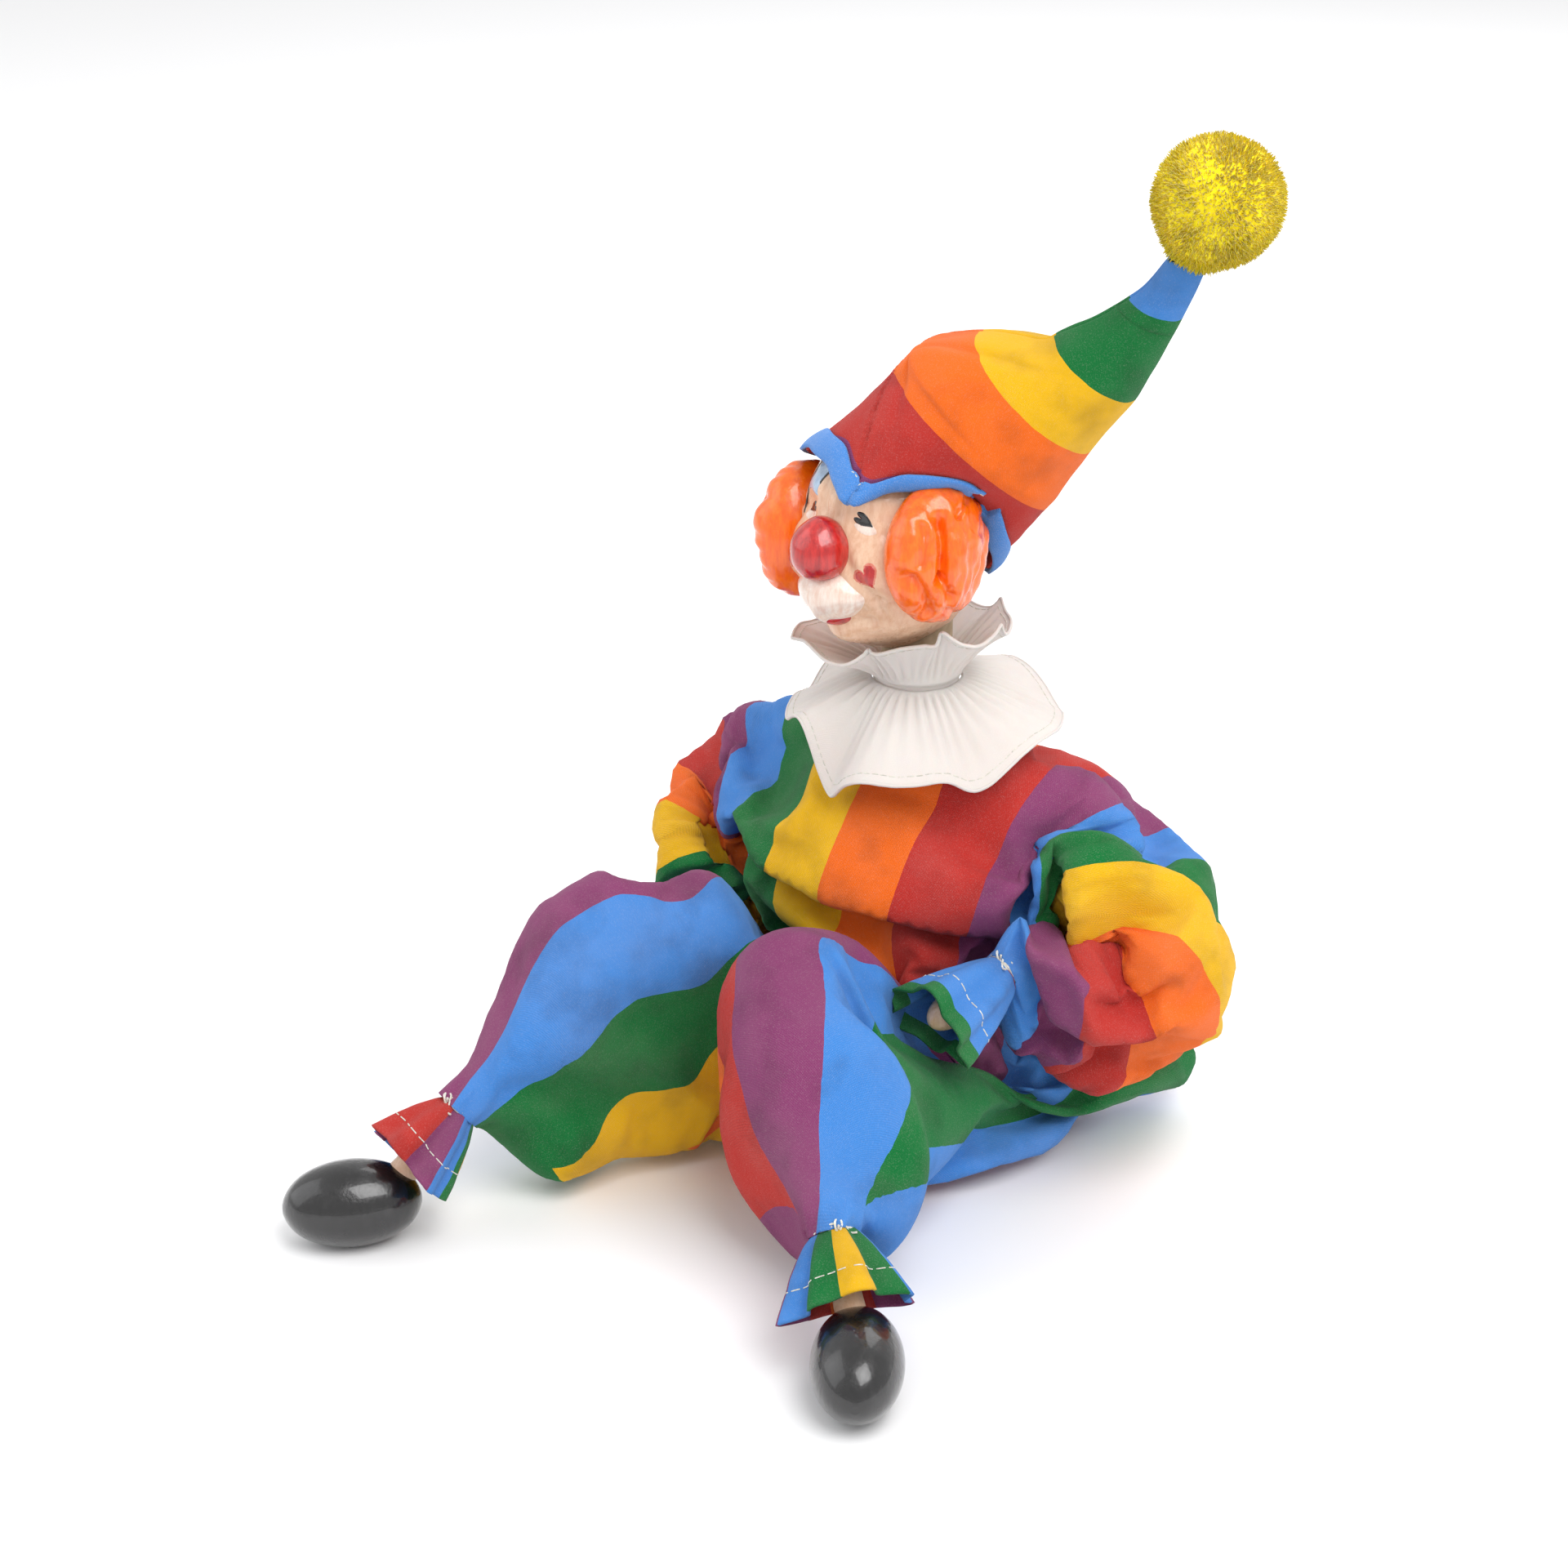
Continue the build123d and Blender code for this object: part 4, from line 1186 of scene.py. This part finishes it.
def held_rings(flat, panel):
    """The sewn-in rings that hold the cloth: which points, and where on its ring each one is."""
    x, y = flat[:, 0], flat[:, 1]
    rings = {}
    for side, sign in SIDES.items():
        chosen = np.where((np.abs(sign * x - SLEEVE_END) < 0.8) & (y > -95))[0]
        rings["sleeve", side] = [(int(i), (-42 - y[i]) / 46 * math.pi * (1 if panel[i] >= 0 else -1)) for i in chosen]
        chosen = np.where((np.abs(y - LEG_END) < 0.8) & (sign * x > 0))[0]
        shares = (sign * x[chosen] - LEG_IN) / (LEG_OUT - LEG_IN)
        rings["leg", side] = [(int(i), share * math.pi * (1 if panel[i] >= 0 else -1))
                              for i, share in zip(chosen, shares)]
    collar = np.where((np.abs(x) <= COLLAR_HALF + 0.5) & (np.abs(y + 7 * (1 - np.abs(x) / COLLAR_HALF)) < 0.5))[0]
    rings["collar", None] = [(int(i), x[i] / COLLAR_HALF * math.pi / 2) for i in collar]
    return rings


def ring_places(rings, panel, share):
    """Where each held point is at a share of the move."""
    places = {}
    for (kind, side), ring in rings.items():
        if kind == "sleeve":
            middle, one, two = wrist_ring(side, share)
        elif kind == "leg":
            way = (HEELS[side] - ANKLES[side]).normalized()
            middle = ANKLES[side] + way * 3
            one, two = leg_across(side, way, math.radians(LEG_ROLL[side]))
        for k, (i, angle) in enumerate(ring):
            if kind == "collar":
                around = Vector((11.5 * math.sin(angle), -11.5 * math.cos(angle) * (1 if panel[i] >= 0 else -1), 4))
                places[i] = NECK + around + Vector((0, 0, LIFTED * (1 - share)))
            else:
                radius = 5.2 + (k % 2) * (2.0 if kind == "sleeve" else 3.4)  # in and out: gathers
                places[i] = middle + one * (radius * math.cos(angle)) + two * (radius * math.sin(angle))
    return places


def in_steps(curves):
    """Makes keyed moves run evenly from key to key."""
    for curve in curves:
        for key in curve.keyframe_points:
            key.interpolation = "LINEAR"


def moves():
    """The frames of the settling move and its share at each."""
    for k in range(9):
        yield 1 + k * MOVE_FRAMES / 8, smooth(k / 8)


def loose_romper(flat, panel, faces):
    """The romper before it settles, with its rest shape flat and its held rings keyed to their seats."""
    start = [start_place(float(x), float(y), int(p)) for (x, y), p in zip(flat, panel)]
    rings = held_rings(flat, panel)
    for i, place in ring_places(rings, panel, 0.0).items():
        start[i] = place
    piece = mesh_piece("romper_cloth", start, faces)
    piece.shape_key_add(name="worn")
    rest = piece.shape_key_add(name="flat")
    for point, (x, y) in zip(rest.data, flat):
        point.co = Vector((x, 0, y)) * MM
    for k, (frame_at, share) in enumerate(moves()):
        if k == 0:
            continue
        key = piece.shape_key_add(name=f"move_{k}")
        for i, place in ring_places(rings, panel, share).items():
            key.data[i].co = place * MM
        for value, when in ((0, frame_at - MOVE_FRAMES / 8), (1, frame_at), (0, frame_at + MOVE_FRAMES / 8)):
            if value or when <= MOVE_FRAMES + 1:
                key.value = value
                key.keyframe_insert("value", frame=when)
    in_steps(piece.data.shape_keys.animation_data.action.fcurves)
    held = sorted(i for ring in rings.values() for i, _ in ring)
    piece.vertex_groups.new(name="held").add(held, 1.0, "REPLACE")
    return piece


def form_of_rings(name, rings, sides):
    """A closed upright form through oval rings: height, half width, half depth and middle of each."""
    points = [(x + a * math.cos(2 * math.pi * j / sides), y + b * math.sin(2 * math.pi * j / sides), z)
              for z, a, b, x, y in rings for j in range(sides)]
    last = len(points) - sides
    faces = grid_faces(len(rings), sides) + [tuple(range(sides))[::-1], tuple(range(last, last + sides))]
    return mesh_piece(name, points, faces)


def rod(name, start_radius, end_radius, length):
    """A round-ended rod along Z from its object's origin, for the cloth to lie on."""
    profile = []
    for i in range(5):
        angle = math.pi / 2 * (i + 0.5) / 5
        profile.append((-start_radius * math.cos(angle), start_radius * math.sin(angle)))
    for i in range(11):
        profile.append((length * i / 10, start_radius + (end_radius - start_radius) * i / 10))
    for i in range(5):
        angle = math.pi / 2 * (i + 0.5) / 5
        profile.append((length + end_radius * math.sin(angle), end_radius * math.cos(angle)))
    return form_of_rings(name, [(z, radius, radius, 0, 0) for z, radius in profile], 16)


def lay_along(piece, start, end, when=None):
    """Turns a rod to run from start to end, and keys it there."""
    way = (end - start).normalized()
    piece.rotation_mode = "QUATERNION"
    now = piece.rotation_quaternion
    piece.rotation_quaternion = (now @ Vector((0, 0, 1))).rotation_difference(way) @ now
    piece.location = start * MM
    if when is not None:
        piece.keyframe_insert("location", frame=when)
        piece.keyframe_insert("rotation_quaternion", frame=when)
        in_steps(piece.animation_data.action.fcurves)


def figure():
    """The stuffed figure and the floor, as simple shapes that the cloth settles on."""
    trunk = form_of_rings("trunk_form", TORSO_RINGS, 40)
    for when, share in moves():
        trunk.location = (0, 0, LIFTED * (1 - share) * MM)
        trunk.keyframe_insert("location", frame=when)
    in_steps(trunk.animation_data.action.fcurves)
    forms = [trunk]
    for side in SIDES:
        lengths = [(b - a).length for a, b in zip(arm_at(side, 1), arm_at(side, 1)[1:])]
        arm = [rod("arm_form", a, b, length) for (a, b), length in zip(((9, 11), (11, 4), (4, 5.5)), lengths)]
        for when, share in moves():
            line = arm_at(side, share)
            for form, start, end in zip(arm, line, line[1:]):
                lay_along(form, start, end, when)
        leg_line = [HIPS[side], KNEES[side], ANKLES[side], HEELS[side]]
        legs = []
        for (a, b), start, end in zip(((12, 12), (12, 4.5), (4, 5)), leg_line, leg_line[1:]):
            legs.append(rod("leg_form", a, b, (end - start).length))
            lay_along(legs[-1], start, end)
        middle, heading = SHOES[side]
        toe = Vector((math.cos(math.radians(heading)), math.sin(math.radians(heading)), 0)) * 8
        shoe = rod("shoe_form", 12, 12, 16)
        lay_along(shoe, middle - toe, middle + toe)
        forms += arm + legs + [shoe]
    ground = level_square("ground_form", 600)
    forms.append(ground)
    for form in forms:
        form.modifiers.new("collision", "COLLISION")
        form.collision.thickness_outer = 0.0008
        form.collision.thickness_inner = 0.004
        form.collision.cloth_friction = 12 if form is ground else 6
        form.collision.damping = 0.6
    return forms


def settle(piece, forms):
    """Runs the cloth until it has settled on the figure, and gives its points in metres."""
    cloth = piece.modifiers.new("cloth", "CLOTH")
    settings = cloth.settings
    settings.quality = 6
    settings.mass = 0.001
    settings.air_damping = 1.0
    settings.bending_model = "ANGULAR"
    settings.tension_stiffness = 180
    settings.compression_stiffness = 160
    settings.shear_stiffness = 60
    settings.bending_stiffness = 0.008
    settings.tension_damping = settings.compression_damping = settings.shear_damping = 8
    settings.bending_damping = 0.5
    settings.vertex_group_mass = "held"
    settings.rest_shape_key = piece.data.shape_keys.key_blocks["flat"]
    contact = cloth.collision_settings
    contact.collision_quality = 2
    contact.distance_min = 0.0015
    contact.use_self_collision = True
    contact.self_distance_min = 0.0018
    contact.self_friction = 3
    scene = bpy.context.scene
    cloth.point_cache.frame_start, cloth.point_cache.frame_end = 1, SETTLE_FRAMES
    scene.frame_start, scene.frame_end = 1, SETTLE_FRAMES
    scene.gravity = (0, 0, SETTLE_GRAVITY)
    for when in range(1, SETTLE_FRAMES + 1):
        scene.frame_set(when)
    worn = piece.evaluated_get(bpy.context.evaluated_depsgraph_get())
    places = np.array([vertex.co for vertex in worn.data.vertices])
    for form in forms:
        bpy.data.objects.remove(form)
    bpy.data.objects.remove(piece)
    scene.frame_set(1)
    return places


def share_along(point, start, end):
    """Where a flat place is from start to end, which are 0 and 1."""
    way = np.array(end, float) - np.array(start, float)
    return float(np.dot(np.array(point) - np.array(start), way) / np.dot(way, way))


# Where the romper bends: joint's body to body, start and end on the flat pattern's right half.
BENDS = {
    "shoulder": ("torso", "upper_arm", (22.8, 12.5), (71.9, 39.4)),
    "elbow": ("upper_arm", "forearm", (104.3, 37.7), (134.4, 48.6)),
    "wrist": ("forearm", "hand", (208, -60), (230, -60)),
    "hip": ("torso", "thigh", (0, -240), (30, -275)),
    "knee": ("thigh", "shin", (60, -290), (60, -338)),
    "ankle": ("shin", "foot", (70, -362), (70, -380)),
}


def part_of(x, y):
    """Which of the romper's pieces a flat place belongs to."""
    side = "left" if x >= 0 else "right"
    place = (abs(x), y)
    if share_along(place, *BENDS["hip"][2:]) > 0 and y < -200:
        if y < -345:
            return side, "ankle"
        return side, "knee" if y < -286 else "hip"
    if share_along(place, *BENDS["shoulder"][2:]) > 0 and y > -190:
        if abs(x) > 200:
            return side, "wrist"
        return side, "elbow" if share_along(place, *BENDS["elbow"][2:]) > 0 else "shoulder"
    return None, "torso"


CLOTH_THICKNESS = 0.6


def take_part(name, mesh, normals, chosen, corner):
    """A closed sheet made of some of a mesh's faces, as thick and shaded as the whole cloth is there."""
    used = sorted({i for face in chosen for i in face.vertices})
    order = {old: new for new, old in enumerate(used)}
    count = len(used)
    points = [mesh.vertices[i].co / MM + normals[i] * (CLOTH_THICKNESS / 2) for i in used]
    points += [mesh.vertices[i].co / MM - normals[i] * (CLOTH_THICKNESS / 2) for i in used]
    outer = [tuple(order[i] for i in face.vertices) for face in chosen]
    inner = [tuple(i + count for i in face[::-1]) for face in outer]
    directed = {(a, b) for face in outer for a, b in zip(face, face[1:] + face[:1])}
    rim = [(b, a, a + count, b + count) for a, b in sorted(directed) if (b, a) not in directed]
    piece = mesh_piece(name, points, outer + inner + rim)
    uv = piece.data.uv_layers.new(name="pattern")
    corners = [corner[i] for i in used] * 2
    for loop in piece.data.loops:
        uv.data[loop.index].uv = corners[loop.vertex_index]
    shading = [normals[i] for i in used] + [-normals[i] for i in used]
    piece.data.normals_split_custom_set_from_vertices(shading)
    return piece, corners


def bend_on_pattern(piece, corner, joint, side):
    """Lays a piece's points on the flat pattern for a moment, bakes its transform, and puts the points back."""
    first, second, start, end = BENDS[joint]
    sign = SIDES[side]
    shown = [vertex.co.copy() for vertex in piece.data.vertices]
    for vertex, (u, v) in zip(piece.data.vertices, corner):
        vertex.co = (u, v, 0)
    first = first if first == "torso" else f"{side}_{first}"
    start, end = ((sign * x * MM, y * MM, 0) for x, y in (start, end))
    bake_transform(piece)
    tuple(start)
    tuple(end)
    for vertex, place in zip(piece.data.vertices, shown):
        vertex.co = place


STANDS_FOR = {"shoulder": "upper_arm_sleeve upper_arm_padding", "elbow": "forearm_sleeve forearm_padding",
              "hip": "thigh_trouser thigh_padding", "knee": "shin_trouser shin_padding"}


def make_romper(cotton):
    """Sews, fits and settles the romper, and cuts it into pieces at the figure's joints."""
    flat, panel, faces = romper_pattern()
    places = settle(loose_romper(flat, panel, faces), figure())
    piece = mesh_piece("romper_whole", places / MM, faces)
    for vertex in piece.data.vertices:
        vertex.co.z = max(vertex.co.z, 0.7 * MM)
    uv = piece.data.uv_layers.new(name="pattern")
    for loop in piece.data.loops:
        uv.data[loop.index].uv = flat[loop.vertex_index] * MM
    finer = piece.modifiers.new("finer", "SUBSURF")
    finer.levels = 1
    finer.uv_smooth = "NONE"
    mesh = applied(piece).data
    corner = {loop.vertex_index: tuple(mesh.uv_layers["pattern"].data[loop.index].uv) for loop in mesh.loops}
    normals = [vertex.normal.copy() for vertex in mesh.vertices]
    groups = {}
    for face in mesh.polygons:
        u, v = (sum(corner[i][k] for i in face.vertices) / len(face.vertices) / MM for k in (0, 1))
        groups.setdefault(part_of(u, v), []).append(face)
    for (side, joint), chosen in sorted(groups.items(), key=lambda item: str(item[0])):
        name = f"romper_{side}_{joint}_cloth" if side else "romper_trunk_cloth"
        part, corners = take_part(name, mesh, normals, chosen, corner)
        if side:
            bend_on_pattern(part, corners, joint, side)
            nodes = [f"{side}_{node}" for node in STANDS_FOR.get(joint, "").split()]
        else:
            nodes = ["romper_body", "torso_padding"]
        dress(part, None if side else "torso", "rainbow_cotton", cotton, *nodes)
        corners = np.array(corners)
        area = sum(flat_area([corner[i] for i in face.vertices]) for face in chosen)
    bpy.data.objects.remove(piece)


def flat_area(corners):
    """Area of a flat polygon."""
    total = sum(a[0] * b[1] - b[0] * a[1] for a, b in zip(corners, corners[1:] + corners[:1]))
    return abs(total) / 2


# ---- set ------------------------------------------------------------------------------------------------
def make_camera():
    """The view: from the figure's left and above, looking down at 25 degrees."""
    turn, drop = math.radians(38), math.radians(25)
    right = Vector((math.cos(turn), math.sin(turn), 0))
    ahead = Vector((-math.sin(turn) * math.cos(drop), math.cos(turn) * math.cos(drop), -math.sin(drop)))
    up = right.cross(ahead)
    place = Vector((0.4961, -0.7096, 0.5120))
    camera = bpy.data.objects.new("camera", bpy.data.cameras.new("camera"))
    camera.data.lens = 69.4
    camera.data.sensor_width = 36
    camera.matrix_world = Matrix((
        (right.x, up.x, -ahead.x, place.x),
        (right.y, up.y, -ahead.y, place.y),
        (right.z, up.z, -ahead.z, place.z),
        (0, 0, 0, 1)))
    bpy.context.scene.collection.objects.link(camera)
    bpy.context.scene.camera = camera


LIGHTS = [("window", (0.9, -0.3, 1.5), 1.1, 20, (1, 1, 1)), ("fill", (-1.2, -1.0, 1.0), 1.6, 8, (0.97, 0.98, 1)),
          ("back", (-0.3, 1.3, 1.2), 1.2, 9, (1, 1, 1))]  # name, place and size in metres, watts, colour
LIGHT_AIM = (0, -0.05, 0.1)


def make_light(name, place, size, energy, colour):
    """A soft square studio light, pointed at the figure."""
    lamp = bpy.data.lights.new(name, "AREA")
    lamp.energy, lamp.size, lamp.color = energy, size, colour
    light = bpy.data.objects.new(name, lamp)
    light.location = place
    light.rotation_mode = "QUATERNION"
    light.rotation_quaternion = (Vector(LIGHT_AIM) - Vector(place)).to_track_quat("-Z", "Y")
    bpy.context.scene.collection.objects.link(light)


def make_set():
    """Camera, studio light and the pale floor; plain colours, without a film look."""
    make_camera()
    bpy.context.scene.view_settings.view_transform = "Standard"
    for light in LIGHTS:
        make_light(*light)
    world = bpy.data.worlds.new("studio")
    world.use_nodes = True
    world.node_tree.nodes["Background"].inputs[0].default_value = (1, 1, 1, 1)
    world.node_tree.nodes["Background"].inputs[1].default_value = 0.80
    bpy.context.scene.world = world
    floor = level_square("floor", 4000)
    n = Nodes("floor_paper")
    floor.data.materials.append(n.done((0.93, 0.93, 0.935), 0.9, n.bump(n.noise(400, 3), 0.08, 0.0003)))


def repaint(material, *nodes):
    """Gives CAD nodes a better material, as they are."""
    for node in nodes:
        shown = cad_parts[node]
        for holder in shown.material_slots:
            holder.material = material


cotton = striped_cotton("rainbow_cotton_weave")
blue_cotton = plain_cotton("blue_cotton_weave", BLUE, 0.6, tint=(0.10, 0.25, 0.6))
white_cotton = plain_cotton("white_cotton_weave", WHITE_COTTON, 0.5, 0.12, tint=(0.70, 0.58, 0.54))
white_thread = fibre("white_thread_twist", THREAD, (0.5, 0.46, 0.4), 0.2)
wool = fibre("yellow_wool_strands", (1.0, 0.84, 0.02), (0.95, 0.74, 0.012), 0.3)
glazes = {
    "skin": glaze("skin_glaze_brushed", (0.80, 0.55, 0.38), (0.68, 0.40, 0.25), rough=0.3, coat=0.45),
    "red": glaze("red_glaze_brushed", (0.62, 0.022, 0.018), (0.33, 0.006, 0.008)),
    "white": glaze("white_glaze_brushed", (0.84, 0.77, 0.69), (0.72, 0.52, 0.42)),
    "black": glaze("black_glaze_brushed", (0.008, 0.007, 0.008), (0.003, 0.003, 0.003)),
    "shoe": glaze("black_glaze_worn", (0.012, 0.011, 0.012), (0.004, 0.004, 0.004), chips=0.30),
    "orange": glaze("orange_glaze_brushed", (0.96, 0.18, 0.003), (0.82, 0.10, 0.0), coat=0.5),
    "blue": glaze("blue_glaze_brushed", (0.42, 0.56, 0.70), (0.30, 0.40, 0.55)),
    "rim": glaze("rose_glaze_brushed", (0.72, 0.25, 0.16), (0.55, 0.12, 0.08)),
}

head = make_head(glazes["skin"])
make_muzzle(glazes["white"])
make_nose(glazes["red"])
make_lip(glazes["red"])
for tuft_side in SIDES:
    make_hair(tuft_side, glazes["orange"])
make_face_paint(tree_of(head), glazes)
make_hat(cotton, blue_cotton, white_thread)
make_pompom(wool)
make_frill("ruff_lower_frill", False, white_cotton, white_thread, "ruff_lower", (0.50, 0.034))
make_frill("ruff_upper_frill", True, white_cotton, white_thread, "ruff_upper", (0.46, 0.026))
for cuff_side in SIDES:
    for cuff_limb in ("sleeve", "leg"):
        make_cuff(cuff_side, cuff_limb, cotton, white_thread)
        make_tie(cuff_side, cuff_limb, white_thread)
make_romper(cotton)

lining = plain_cotton("lining_weave", (0.62, 0.56, 0.47), 0.7)
for node_name in ("hand_channel_lining", "seat_base", "opening_binding", "neck_binding", "ruff_gathering_band"):
    repaint({"ruff_gathering_band": white_cotton}.get(node_name, lining), node_name)
repaint(pasteboard("neck_pasteboard"), "neck_tube")
for node_side in SIDES:
    repaint(glazes["skin"], f"{node_side}_hand")
    repaint(glazes["shoe"], f"{node_side}_shoe")
    repaint(glazes["skin"], f"{node_side}_ankle_stem")
make_set()
